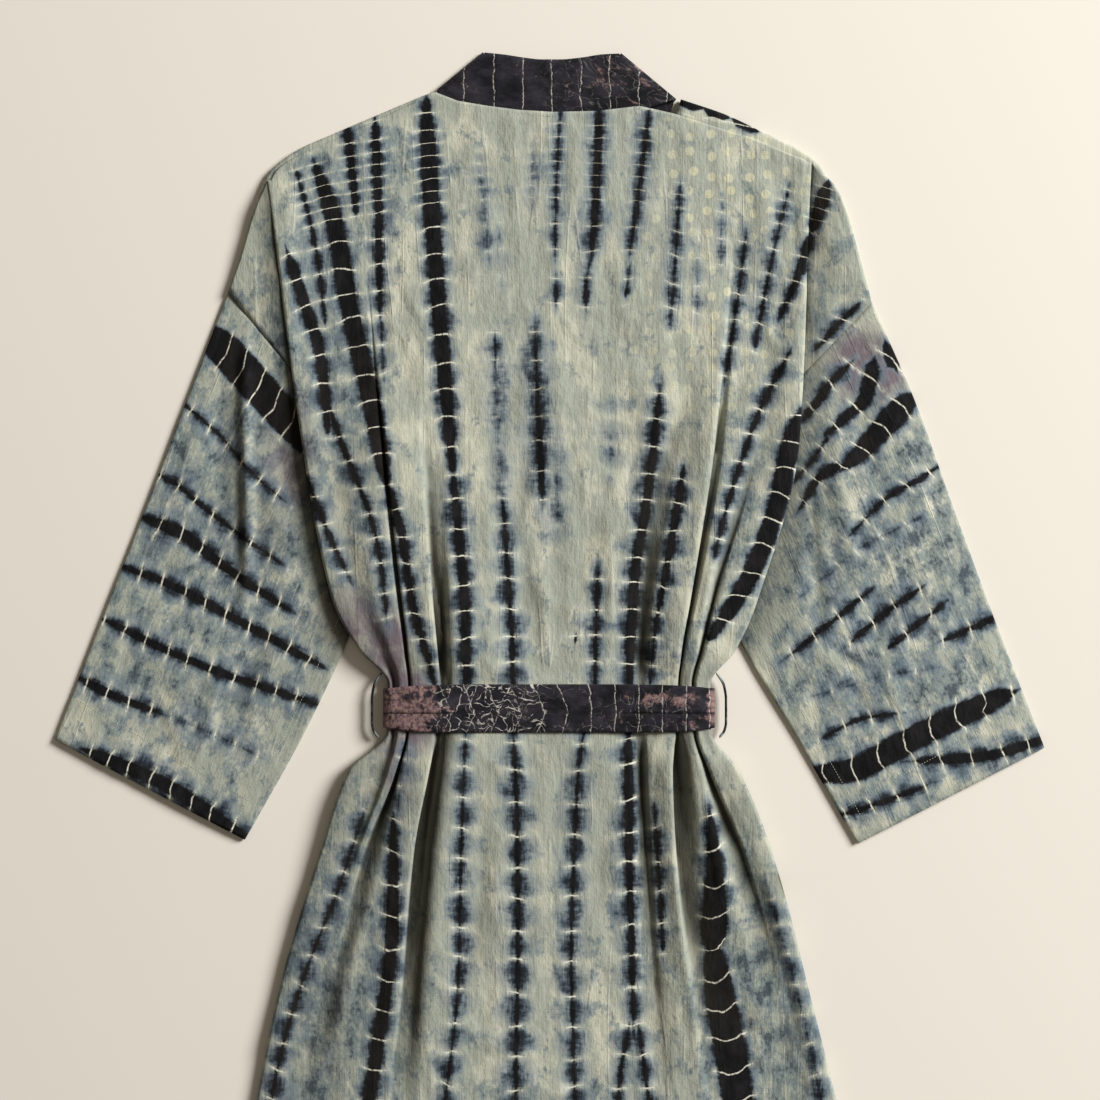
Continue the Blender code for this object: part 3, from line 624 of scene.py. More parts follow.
def front_ridges(x, y):
    """How far the creases of the fronts stand up, away from the sash and the two bands."""
    plan = np.stack(np.broadcast_arrays(x, y), axis=-1)
    return np.maximum(creased(plan, FRONT_CREASES), 0) * smoothstep(*RIDGE_CLEAR, belt_away(y))


def back_columns():
    """The fold lines and the columns between them, as places along the table of lines."""
    table = np.array(list(FOLD_LINES.values()), float)
    widths = np.diff(table[:, :-LAST_COLUMNS], axis=0)
    spans = np.abs(widths).max(axis=1)
    places = []
    for i, span in enumerate(spans):
        steps = max(4, round(span / COLUMN))
        places.append(i + np.arange(steps) / steps)
    return np.concatenate(places + [[len(table) - 1]])


def back_base(x, y):
    """The back without its folds: low in the middle, higher over the hidden layers at its sides."""
    levels = (BACK_TOP,) + LEVELS
    middle = down(levels, (SHOULDER_LAP,) + MIDDLE_HEIGHT, y)
    sides = down(levels, (SHOULDER_LAP,) + SIDE_HEIGHT, y)
    inside = np.minimum(x - side_seam_x(LEFT, y), side_seam_x(RIGHT, y) - x)
    return sides + (middle - sides) * smoothstep(0, SIDE_SLOPE, inside)


def back_face(upper, lower):
    """The back between its side folds. Height eases from line to line as a half cosine, straighter by
    the creased hollows; away from the sash the folds stand up, and creases and wrinkles are added."""
    names = list(FOLD_LINES)
    table = np.array(list(FOLD_LINES.values()), float)
    places = back_columns()
    y_lines = row_levels(back_top_y(table[:, 0]), upper, lower)
    y = row_levels(back_top_y(np.interp(places, np.arange(len(table)), table[:, 0])), upper, lower)
    x_lines = np.empty_like(y_lines)
    z_lines = np.empty_like(y_lines)
    for i, row in enumerate(table):
        line_y = y_lines[:, i]
        x_lines[:, i] = down((line_y[0],) + LEVELS, row[:-LAST_COLUMNS], line_y)
        height, gain, up, below = row[-LAST_COLUMNS:-1]
        away = np.maximum((line_y - BELT_TOP) / up, (BELT_FOOT - line_y) / below)
        height = height + gain * smoothstep(0, FREE_REACH, belt_away(line_y))
        z_lines[:, i] = height * (1 - smoothstep(0, 1, away))
    whole = np.minimum(places.astype(int), len(table) - 2)
    part = places - whole
    sharp = np.array([name in CREASED for name in names])
    straight = CREASED_STRAIGHT * (sharp[whole] * (1 - part) + sharp[whole + 1] * part)
    ease = (1 - np.cos(np.pi * part)) / 2 * (1 - straight) + part * straight
    x = x_lines[:, whole] * (1 - part) + x_lines[:, whole + 1] * part
    folds = z_lines[:, whole] * (1 - ease) + z_lines[:, whole + 1] * ease
    lean = table[whole, -1] * (1 - ease) + table[whole + 1, -1] * ease
    plan = np.stack([x, y], axis=-1)
    free = smoothstep(*ROUGH_CLEAR, belt_away(y))
    by_edge = smoothstep(*EDGE_CLEAR, y[:1] - y)
    z = back_base(x, y) + folds + crumpled(plan, BACK_CRUMPLE) * free * by_edge
    z = np.maximum(z, np.minimum(back_base(x, y), front_cover(x, y) + OVER_FRONTS))
    z[0] = SHOULDER_LAP
    covered = (x < side_seam_x(LEFT, y) + MARGIN) | (x > side_seam_x(RIGHT, y) - MARGIN)
    clear = rest_height(HIDDEN_REST, y) + OVER_HIDDEN
    x = x + lean * folds * smoothstep(*LEAN_CLEAR, belt_away(y))
    return np.stack([x, y, np.where(covered, np.maximum(z, clear), z)], axis=-1)


def front_cover(x, y):
    """The height of the fronts and their bands under the back: two layers where they overlap."""
    doubled = (x > band_seam_x(RIGHT, y) - BAND_WIDTH - MARGIN) & (x < overlap_ramp(y)[1] + MARGIN)
    cover = CAD_BAND_WALL / 2 + WALL / 2 + belt_lift(y) + np.where(doubled, OVERLAP_LIFT, 0)
    return cover + front_ridges(x, y)


def back_side(side, face, upper, lower):
    """Columns outside the back's face: from the seam along the hidden part or the wing, then round the
    side fold. The turn is a half circle pressed to the height of the side's crest, and the face laps
    over what comes before it. The wing stands highest some way off the fold and sinks towards it."""
    inward = -side
    crest = face[:, 0, 2] if side == LEFT else face[:, -1, 2]
    fold_y = row_levels(np.array([fold_top(side)]), upper, lower)[:, 0]
    seam_y = row_levels(np.array([SHOULDER_POINT[side][1] - 1.0]), upper, lower)[:, 0]
    fold_x = side_fold_x(side, fold_y)
    on_sleeve = smoothstep(*ON_SLEEVE, seam_y)
    at_shoulder = np.clip((SHOULDER_POINT[side][1] - seam_y) / TUCK_DROP, 0, 1)
    seam_x = side_seam_x(side, seam_y) - inward * (GAP + WING_TUCK * on_sleeve * at_shoulder)
    fan = np.concatenate([upper, np.ones(len(lower))])
    lap = (SHOULDER_LAP - WING) * (1 - smoothstep(0, WING_LAP, fan))
    low = rest_height(HIDDEN_REST, fold_y) + lap
    roll = ROLL * smoothstep(*ROLL_CLEAR, fold_y[0] - fold_y)
    share = np.linspace(0, 1, WING_COLUMNS)[:-1]
    under_x = fold_x + inward * roll
    x = seam_x[:, None] + (under_x - seam_x)[:, None] * share
    y = seam_y[:, None] + (fold_y - seam_y)[:, None] * share
    outline = shoulder_seam(side)
    outline = outline[np.abs(outline[:, 0]) > np.abs(fold_x[0]) + POINT_CLEAR]
    corner = np.concatenate([[(seam_x[0], seam_y[0])], outline[1:], [(under_x[0], fold_y[0])]])
    bulge = along(corner, share) - np.stack([x[0], y[0]], axis=-1)
    fading = np.clip(1 - 2 * fan, 0, 1)[:, None] ** 2
    x = x + bulge[:, 0] * fading
    y = y + bulge[:, 1] * fading
    rise = rest_height(EDGE_REST, seam_y) + lap
    z = rise[:, None] + (low - rise)[:, None] * smoothstep(0, 0.5, share)
    on_wing = smoothstep(*WING_CLEAR, inward * (fold_x - seam_x))[:, None]
    uneven = 1 + crumpled(np.stack([x, y], axis=-1), WING_CRUMPLE[side])
    z = z + WING_RISE[side] * on_wing * uneven * np.sin(np.pi * share ** WING_CREST)
    flat = np.stack([x, y, z], axis=-1)
    angle = np.radians(np.linspace(-90, 90, FOLD_STEPS))
    outside = np.where(angle < 0, roll[:, None], FOLD_OUT) * (1 - np.cos(angle))
    turn_x = fold_x[:, None] + inward * outside
    turn_z = low[:, None] + (crest - low)[:, None] * (1 + np.sin(angle)) / 2
    turn = np.stack([turn_x, np.repeat(fold_y[:, None], len(angle), axis=1), turn_z], axis=-1)
    columns = np.concatenate([flat, turn], axis=1)
    return columns if side == LEFT else columns[:, ::-1]


def back_grid():
    """The whole back: its left side, its face and its right side."""
    upper = np.linspace(0, 1, round((BACK_TOP - CHEST) / ROW))[:-1] ** FAN_POWER
    lower = body_levels()
    face = back_face(upper, lower)
    left, right = (back_side(side, face, upper, lower) for side in SIDES)
    return np.concatenate([left, face, right], axis=1)


def half_turn(edge, normal, low, high, steps):
    """Rows that turn over an edge from one height to another: a half circle in section, ROLL deep in
    plan."""
    rows = []
    for angle in np.radians(np.linspace(0, 180, steps)):
        place = edge + normal * ROLL * (1 - np.sin(angle))
        height = low + (high - low) * (1 - np.cos(angle)) / 2
        rows.append(np.column_stack([place, np.broadcast_to(height, len(edge))]))
    return np.array(rows)


def front_grid(side):
    """A front, from the hem up. Level rows run from the side seam to the band's seam. Above the
    underarm the rows swing to the shoulder's outline, and the last ones turn over it to the back."""
    levels = body_levels()[::-2]
    levels = np.append(levels[levels < UNDERARM - ROW_CLEAR], UNDERARM)
    inward = -side
    outer = side_seam_x(side, levels) + inward * GAP
    inner = band_seam_x(side, levels)
    if side == LEFT:
        bends, spans = (outer, inner), (FRONT_COLUMNS - 1,)
    else:
        start, end = overlap_ramp(levels)
        bends = (outer, end, start, inner)
        spans = (FRONT_COLUMNS - 2 * RAMP_COLUMNS - 1, RAMP_COLUMNS, RAMP_COLUMNS)
    parts = [outer[:, None]]
    for here, there, count in zip(bends, bends[1:], spans):
        parts.append(here[:, None] + (there - here)[:, None] * np.linspace(0, 1, count + 1)[1:])
    x = np.concatenate(parts, axis=1)
    columns = np.linspace(0, 1, FRONT_COLUMNS)
    body = np.stack([x, np.repeat(levels[:, None], FRONT_COLUMNS, axis=1)], axis=-1)
    outline = along(SHOULDER[side], columns)
    outline[0, 0] += inward * GAP
    edge, strip = outline[:, :2], outline[:, 2:]
    normal = inward_normals(outline)
    shares = np.linspace(0, 1, SWING_ROWS + 2)[1:-1, None, None]
    swing = body[-1] + (edge + normal * ROLL - body[-1]) * shares
    plan = np.concatenate([body, swing])
    z = CAD_WALL / 2 + belt_lift(plan[..., 1]) + front_ridges(plan[..., 0], plan[..., 1])
    if side == RIGHT:
        z = z + overlap_lift(plan[..., 0], plan[..., 1])
    flat = np.concatenate([plan, z[..., None]], axis=-1)
    turn = half_turn(edge, normal, CAD_WALL / 2, FRONT_TURN, FOLD_STEPS)
    height = np.full(len(edge), FRONT_TURN)
    behind = [np.column_stack([edge + normal * (ROLL + (strip + BEHIND_LAP - ROLL) * reach), height])
              for reach in BEHIND]
    return np.concatenate([flat, turn, behind])


def band_grid():
    """The neck band: up the left front's edge, over the left fold, along the neck, over the right
    fold and down the right front's edge. Each row runs from the seam to the free edge."""
    levels = np.linspace(HEM, BAND_TOP, BAND_ROWS)
    shares = np.linspace(0, 1, NECK_ROWS)
    seam = along(NECK_SEAM, shares) - np.array([0, BAND_TUCK])
    edge = along(BAND_EDGE, shares)
    across = np.linspace(0, 1, BAND_COLUMNS)
    behind = BAND_BACK[0] + (BAND_BACK[1] - BAND_BACK[0]) * across
    low = CAD_BAND_WALL / 2
    rows = {}
    for side, end in ((LEFT, 0), (RIGHT, -1)):
        inward = -side
        seam_x = band_seam_x(side, levels) + inward * GAP
        x = seam_x[:, None] + inward * BAND_WIDTH * across
        y = np.repeat(levels[:, None], BAND_COLUMNS, axis=1)
        z = low + belt_lift(y)
        if side == RIGHT:
            z = z + overlap_lift(x[:, :1], y[:, :1])
        way = edge[end] - seam[end]
        normal = np.array([way[1], -way[0]]) * inward / np.linalg.norm(way)
        turn = half_turn(seam[end] + way * across[:, None], normal, low, behind, BAND_STEPS)
        rows[side] = np.concatenate([np.stack([x, y, z], axis=-1), turn])
    inside = slice(1, -1)
    plan = seam[inside, None] + (edge - seam)[inside, None] * across[:, None]
    ends = np.sin(np.pi * shares[inside])[:, None] ** 0.3
    uneven = 1 - BAND_UNEVEN + BAND_UNEVEN * swell(plan, *BAND_SWELL)
    puff = BAND_PUFF * np.sin(np.pi * across) * uneven * ends
    back = np.concatenate([plan, (behind + puff)[..., None]], axis=-1)
    return np.concatenate([rows[LEFT], back, rows[RIGHT][::-1]])


def sleeve_shares(side):
    """Shares of the way down the sleeve, with one ring on the cuff's hem stitching."""
    hem = 1 - CUFF_HEM / SLEEVE_LENGTH[side]
    rings = round(SLEEVE_LENGTH[side] / ROW)
    upper = np.linspace(0, hem, round(rings * hem))
    return np.concatenate([upper, np.linspace(hem, 1, round(rings * (1 - hem)) + 1)[1:]])


def sleeve_grid(side):
    """A sleeve as rings from the armhole to the cuff. Each ring is a flattened loop: along the top from
    the outer edge to the underarm edge, round a half turn there, back along the bottom, round again.
    The free part of the top swells between the edges and has the creases; the cuff's hem stands up."""
    inward = -side
    shares = sleeve_shares(side)
    outer = along(SLEEVE_OUTER[side], shares)
    inner = along(SLEEVE_INNER[side], shares)
    outer[0, 0] -= inward * GAP
    inner[0, 0] -= inward * GAP
    across = np.linspace(0, 1, SLEEVE_ACROSS + 2)[1:-1]
    length = np.linalg.norm(inner - outer, axis=1)[:, None]
    way = (inner - outer) / length
    inset = (length - 2 * ROLL) * across + ROLL
    run = outer[:, None] + way[:, None] * inset[..., None]
    free = smoothstep(*SLEEVE_FREE, side * (run[..., 0] - side_fold_x(side, run[..., 1])))
    share = shares[:, None]
    rim = np.sin(np.pi * across) ** 0.6
    rough = crumpled(run, SLEEVE_CRUMPLE[side])
    hem = smoothstep(*HEM_EDGE, share - (1 - CUFF_HEM / SLEEVE_LENGTH[side]))
    rise = rim * (SLEEVE_PUFF[side] * smoothstep(*PUFF_RISE, share) + rough * smoothstep(*ROUGH_RISE, share))
    top = SLEEVE_TOP + HEM_STEP * hem + np.maximum(rise, SLEEVE_DIP) * free * (1 - HEM_CALM * hem)
    low = CAD_WALL / 2
    turn = np.radians(np.linspace(0, 180, SLEEVE_TURN))
    out = ROLL * (1 - np.sin(turn))
    lift = (1 - np.cos(turn)) / 2
    near = outer[:, None] + way[:, None] * out[:, None]
    far = inner[:, None] - way[:, None] * out[:, None]
    near_z = low + (top[:, :1] - low) * lift
    far_z = low + (top[:, -1:] - low) * lift[::-1]
    plan = np.concatenate([near, run, far, run[:, ::-1]], axis=1)
    under = low + np.maximum(creased(run, SLEEVE_UNDER_CREASES[side]), 0) * rim
    z = np.concatenate([near_z, top, far_z, under[:, ::-1]], axis=1)
    return np.concatenate([plan, z[..., None]], axis=-1)


def pressed_in(x, y):
    """The fold pressed along the sash, towards both its ends: 1 on its line."""
    beyond = smoothstep(*PRESSED_PARTS, np.abs(x - PRESSED_MIDDLE))
    return np.exp(-((y - PRESSED_LINE) / PRESSED_WIDTH) ** 2) * beyond


def sash_grid():
    """The sash as one ring round the waist: under the fronts, up past each side and over the back. A
    fold pressed along it leaves a low ridge near its foot, and it dips a little between the folds."""
    low = CAD_BAND_WALL / 2
    ride = np.array(SASH_RIDE, float)
    on_top, on_turn, below = SASH_STEPS
    top_x = np.linspace(*SASH_TOP, on_top)
    top = np.column_stack([top_x, flow(ride[:, 0], ride[:, 1], top_x)])
    left, right = SASH_ENDS[LEFT], SASH_ENDS[RIGHT]
    side_turn = along(SASH_TURN, np.linspace(0, 1, on_turn)[1:])
    right_side = side_turn * (-1, 1) + (right, 0)
    left_side = side_turn[::-1] + (left, 0)
    bottom_x = np.linspace(right - SASH_BOTTOM, left + SASH_BOTTOM, below)
    bottom = np.column_stack([bottom_x, np.full(below, low)])
    ring = np.concatenate([top, right_side, bottom, left_side])
    fine = (PRESSED_LINE - WAIST + np.array(SASH_PRESS)) / BELT_HALF
    coarse = np.linspace(-1, 1, SASH_ROWS)
    coarse = coarse[(coarse < fine[0] - PRESSED_CLEAR) | (coarse > fine[-1] + PRESSED_CLEAR)]
    across = np.sort(np.concatenate([coarse, fine]))
    half = BELT_HALF - SASH_END_TAPER * (np.abs(ring[:, 0]) / right) ** 6
    x = np.repeat(ring[:, :1], len(across), axis=1)
    y = WAIST + half[:, None] * across
    over = (smoothstep(*OVER_PATH, ring[:, 1]) * (np.arange(len(ring)) < len(top)))[:, None]
    plan = np.stack([x, y], axis=-1)
    pressed = pressed_in(x, y)
    rounding = SASH_ROUND * (1 - across ** 2)
    soft = crumpled(plan, SASH_SWELLS)
    z = ring[:, 1:] + over * (rounding - PRESSED_DEPTH * pressed + soft * (1 - across ** 8))
    return np.stack([x, y, z], axis=-1).transpose(1, 0, 2)


def loop_path(side):
    """A belt loop in plan, from under the side fold above the sash, out past its end and back below it."""
    path = [(SASH_ENDS[side] + side * out, WAIST + up) for out, up in LOOP_PATH]
    return along(path, np.linspace(0, 1, LOOP_STEPS))


def loop_grid(side):
    """The belt loop: an oval section carried along its path, drawn in to a point at each end."""
    path = loop_path(side)
    turn = np.linspace(0, 2 * np.pi, LOOP_AROUND, endpoint=False)
    run = np.linspace(0, 1, LOOP_STEPS)
    size = np.clip(np.minimum(run, 1 - run) * LOOP_STEPS / 2, 0, 1)[:, None] ** 0.5
    plan = path[:, None] + rightward(path)[:, None] * (LOOP_SIZE[0] * size * np.cos(turn))[..., None]
    return np.concatenate([plan, (LOOP_HEIGHT + LOOP_SIZE[1] * size * np.sin(turn))[..., None]], axis=-1)


# The dye. Each stripe: half width of its dark core at the start and at the end (below 0 where only its
# bleed shows), reach of the bleed, and its path.
BODY_STRIPES = (
    (2, 2, 7, ((-253, 495), (-233, 413), (-225, 344))),
    (9, 9, 8, ((-234, 500), (-217, 450), (-200, 355), (-178, 261), (-163, 180))),
    (6, 5, 7, ((-262, 414), (-247, 367), (-230, 312), (-222, 236))),
    (3, 2, 11, ((-223, 267), (-206, 218), (-193, 187), (-178, 147), (-168, 100), (-163, 50))),
    (4.4, 3.6, 8, ((-162, 184), (-147, 127), (-138, 67), (-121, 7), (-115, -18))),
    (3, 2, 10, ((-244, 193), (-217, 124), (-201, 90))),
    (4.5, 3, 6, ((-204, 545), (-197, 487), (-194, 450))),
    (5, 3, 8, ((-175, 548), (-172, 463), (-170, 350))),
    (0.5, 0.5, 8, ((-169, 345), (-166, 290))),
    (9, 6, 9, ((-124, 566), (-119, 470), (-108, 320), (-97, 195))),
    (4.4, 5.6, 12, ((-97, 195), (-91, 128), (-85, 60), (-83, -20))),
    (1.4, 1.8, 14, ((-84, -60), (-89, -190), (-92, -320), (-104, -430), (-112, -540), (-116, -616))),
    (-5, -4, 13, ((-72, 510), (-66, 462), (-60, 400))),
    (-6, -6, 14, ((-50, 452), (-48, 380))),
    (-3.4, -4.4, 17, ((-55, 330), (-54, 240))),
    (0.5, 0.1, 3, ((-55, 336), (-55, 296))),
    (-6, -6, 17, ((-53, 250), (-50, 170))),
    (1.0, 4.0, 15, ((-15, 340), (-12, 262), (-8, 168))),
    (1, 1, 8, ((10, 556), (6, 470), (5, 412))),
    (-1, 3, 5, ((6, 392), (6, 362))),
    (4, 3.4, 10, ((49, 560), (46, 468), (41, 410))),
    (-1, 4, 8, ((40, 404), (36, 384), (36, 362))),
    (-5, -5, 11, ((-17, 516), (-18, 462))),
    (2.2, 3.4, 13, ((-47, 166), (-42, 90), (-38, 30), (-37, -20))),
    (3.2, 1.8, 17, ((-37, -60), (-33, -147), (-32, -256), (-34, -400), (-40, -616))),
    (2.4, 1.2, 10, ((99, 556), (89, 477), (80, 415))),
    (-1, 2, 6, ((80, 400), (76, 372))),
    (0.8, 1.2, 10, ((130, 480), (125, 403), (120, 344))),
    (-3, -2, 9, ((172, 465), (171, 400))),
    (-4, -3, 10, ((148, 412), (147, 350))),
    (1.4, 1.8, 9, ((196, 432), (188, 369), (175, 286))),
    (0.6, 2.2, 10, ((238, 476), (223, 413), (205, 320))),
    (7, 5, 5, ((277, 482), (270, 460), (262, 436))),
    (4.6, 3, 6, ((262, 436), (248, 392), (230, 350))),
    (3, 3, 8, ((268, 320), (286, 340), (308, 362))),
    (3, 2.4, 10, ((240, 316), (207, 250), (178, 165), (164, 112))),
    (10, 8, 5, ((276, 276), (244, 234), (226, 160), (200, 92), (160, 30))),
    (4, 6, 12, ((110, 278), (98, 175), (85, 93), (80, 20), (79, -20))),
    (5.4, 2.6, 14, ((78, -60), (79, -180), (82, -290), (84, -364))),
    (2.4, 2, 10, ((80, -356), (70, -412), (62, -520), (58, -616))),
    (2.4, 2, 10, ((88, -356), (96, -412), (108, -520), (116, -616))),
    (5.5, 1.2, 11, ((133, 196), (118, 108), (104, 30), (100, -16))),
    (2.4, 2.4, 10, ((48, 96), (46, 40), (45, -20))),
    (-7, -7, 18, ((62, 270), (60, 190))),
    (-7, -7, 20, ((6, 230), (8, 120))),
    (2.4, 1.4, 15, ((35, -60), (29, -96), (24, -190), (21, -290), (24, -400), (26, -616))),
    (2, 2.4, 9, ((104, -136), (109, -212), (113, -284))),
    (2.5, 16, 9, ((158, -138), (162, -170), (164, -200), (165, -230), (163, -284))),
    (16, 15, 8, ((163, -276), (170, -330), (182, -393), (196, -500), (208, -616))),
    (6, 7, 11, ((-156, -150), (-158, -270), (-170, -360), (-184, -450), (-200, -540), (-214, -616))),
    (-2, -2, 15, ((-147, -80), (-152, -150))),
    (3, 1.4, 1, ((26, 33), (25, 25))),
    (1.6, 2.4, 15, ((-186, -146), (-214, -228), (-244, -304), (-270, -390), (-286, -480), (-300, -580))),
    (-2, 1, 12, ((214, -210), (240, -300), (262, -390), (284, -500))),
    (1, 1, 10, ((-136, -440), (-146, -540), (-152, -616))),
    (1.5, 2, 12, ((2, -440), (-4, -540), (-6, -616))),
)
SLEEVE_STRIPES = {
    LEFT: (
        (18, 15, 4, ((-345, 338), (-310, 300), (-261, 246), (-220, 205))),
        (1.8, 0.8, 9, ((-368, 264), (-331, 232), (-297, 193), (-268, 168))),
        (2.4, 1.6, 11, ((-394, 194), (-371, 181), (-353, 165), (-317, 137), (-270, 104))),
        (7, 3, 9, ((-408, 150), (-370, 134), (-320, 96), (-260, 56))),
        (4.4, 4, 11, ((-428, 100), (-389, 86), (-304, 42), (-228, 0))),
        (4, 3.4, 11, ((-448, 48), (-347, 1), (-232, -38))),
        (5, 3, 12, ((-470, -12), (-434, -30), (-392, -46))),
        (-3, -3, 16, ((-380, -50), (-330, -70), (-290, -90))),
        (7, 7, 15, ((-464, -84), (-389, -116), (-300, -174))),
        (-4, -4, 16, ((-400, 130), (-360, 130))),
    ),
    RIGHT: (
        (5, 3, 7, ((254, 248), (266, 263), (281, 284), (302, 305))),
        (1.5, 1.5, 7, ((244, 186), (262, 206), (278, 230))),
        (3, 9, 7, ((276, 232), (296, 250), (315, 268), (324, 304))),
        (2, 6, 7, ((250, 158), (272, 192), (292, 202))),
        (7, 14, 7, ((292, 198), (309, 213), (330, 236), (362, 270))),
        (1.2, 3.2, 9, ((300, 132), (338, 170), (368, 187), (388, 200))),
        (6, 8, 4, ((337, 322), (346, 300))),
        (-2, -2, 12, ((250, 70), (310, 118), (370, 150))),
        (3, 2.6, 11, ((240, 12), (280, 44), (322, 78))),
        (3, 3, 11, ((300, 24), (330, 50), (372, 80))),
        (2.6, 2.6, 10, ((340, 20), (393, 63))),
        (3, 3.4, 9, ((392, 26), (448, 50))),
        (-3, -3, 15, ((260, -30), (330, -10), (390, 0))),
        (12, 12, 6, ((256, -108), (300, -104), (350, -78), (402, -52), (462, -26))),
        (5, 5, 12, ((366, -94), (430, -90), (496, -72))),
        (3, 2.4, 11, ((286, -150), (330, -136), (378, -118))),
        (2, 2, 10, ((276, -70), (310, -52), (350, -46))),
    ),
}
# Black patches on the strip of the right front that reaches over the shoulder.
SHOULDER_PATCHES = (
    (6, 4, 1.5, ((92, 566), (118, 566))),
    (5, 7, 1.5, ((128, 568), (152, 561))),
    (7, 5, 1.5, ((158, 558), (176, 550))),
    (5, 3, 2, ((184, 547), (208, 536))),
)
LAYERS = 4  # sets of stripes, each kept apart from its own neighbours
SIDE_FADE = (20, 1.5)  # beyond this offset a stripe's half width falls off this fast
END_FADE = 0.5  # and past its ends this fast
PROBES = 9  # points at which the distance between two stripes is measured
NO_STRIPE = (60, -40, 0)  # offset, half width and bleed where none is near
TIP_WIDTH = 0.35  # the share of its width and of its bleed that a stripe keeps at its tips
TIP_BLEED = 0.6
PARTING = (4, 14)  # where two stripes are as near as this, they draw in by up to PARTED
PARTED = 40


def stripe_layers(stripes):
    """Shares the stripes out so that those in one set lie far apart: each joins the set in which the
    nearest one is farthest off."""
    layers = [[] for _ in range(LAYERS)]
    taken = [[] for _ in range(LAYERS)]
    for stripe in stripes:
        points = along(stripe[-1], np.linspace(0, 1, PROBES))
        room = [min([np.linalg.norm(points[:, None] - other, axis=-1).min() for other in others] or [np.inf])
                for others in taken]
        best = int(np.argmax(room))
        layers[best].append(stripe)
        taken[best].append(points)
    return layers


def stripe_field(plan, stripes):
    """For each point the signed offset from its nearest stripe, that stripe's half width there and the
    reach of its bleed. The half width draws in to the stripe's ends, and it falls off far beside the
    stripe and where two are equally near, so that nothing shows where the nearest one changes."""
    field = np.tile(np.array(NO_STRIPE, float), (len(plan), 1))
    first_level = np.full(len(plan), -90.0)
    second_level = first_level.copy()
    for first, last, bleed, path in stripes:
        offset, place, length, beyond = beside(plan, path)
        share = place / length
        taper = 1 - np.abs(2 * share - 1) ** 6
        kept = TIP_WIDTH + (1 - TIP_WIDTH) * taper if first + last > 0 else 1
        core = (first + (last - first) * share) * kept
        start, speed = SIDE_FADE
        core = core - END_FADE * beyond - speed * np.maximum(np.abs(offset) - start, 0)
        level = core - np.abs(offset)
        better = level > first_level
        second_level = np.where(better, first_level, np.maximum(second_level, level))
        first_level = np.where(better, level, first_level)
        reach = bleed * (TIP_BLEED + (1 - TIP_BLEED) * taper)
        made = np.stack([offset, core, reach], axis=-1)
        field = np.where(better[:, None], made, field)
    field[:, 1] -= PARTED * (1 - smoothstep(*PARTING, first_level - second_level))
    return field


# Rows of the resist threads. On the body they lie across it, bowed, and closer near the shoulders: level
# and number of some of them. On a sleeve they turn with its stripes: centre, and heading in degrees at
# two levels of Y. The calmer a sleeve, the less its stripes draw in at a thread.
ROWS = ((-616, -43), (-104, -27), (5, -23), (252, -14), (365, -10), (470, -6), (542, 0), (640, 5))
BOW = (-0.0005, 0.0007)  # above and below the sash
BOW_TURN = (-120, 60)
BODY_PITCH = 28
SWAY = 0.6  # how far the rows wander, in rows
ARCH = 0.1  # how far they arch across a wide stripe, in rows, and how far from its middle
ARCH_REACH = 13
WIDE = (4, 8)  # the half width from which a stripe counts as wide
ARCH_BELOW = -1.6  # times ARCH below the waist, where they hang the other way
SLEEVE_PITCH = {LEFT: 23, RIGHT: 28}
SLEEVE_CALM = {LEFT: 0.75, RIGHT: 0.3}
UPRIGHT = 90  # the heading of the body's warp, and how far that of a sleeve leans off it
SLEEVE_SLANT = 22
SLEEVE_ROWS = {LEFT: ((-350, 120), (-27, 230), (-17, 0)), RIGHT: ((350, 110), (49, 230), (20, -70))}


def body_rows(plan):
    """The number of the thread row at each point of the body, with fractions between rows."""
    bow = BOW[1] + (BOW[0] - BOW[1]) * smoothstep(*BOW_TURN, plan[..., 1])
    levels, numbers = np.array(ROWS, float).T
    return np.interp(plan[..., 1] - bow * plan[..., 0] ** 2, levels, numbers)


def sleeve_rows(side, plan):
    """The number of the thread row at each point of a sleeve."""
    centre, (top_heading, top), (low_heading, low) = SLEEVE_ROWS[side]
    heading = np.radians(low_heading + (top_heading - low_heading) * smoothstep(low, top, plan[..., 1]))
    place = plan - np.array(centre)
    return (place[..., 0] * np.cos(heading) + place[..., 1] * np.sin(heading)) / SLEEVE_PITCH[side]
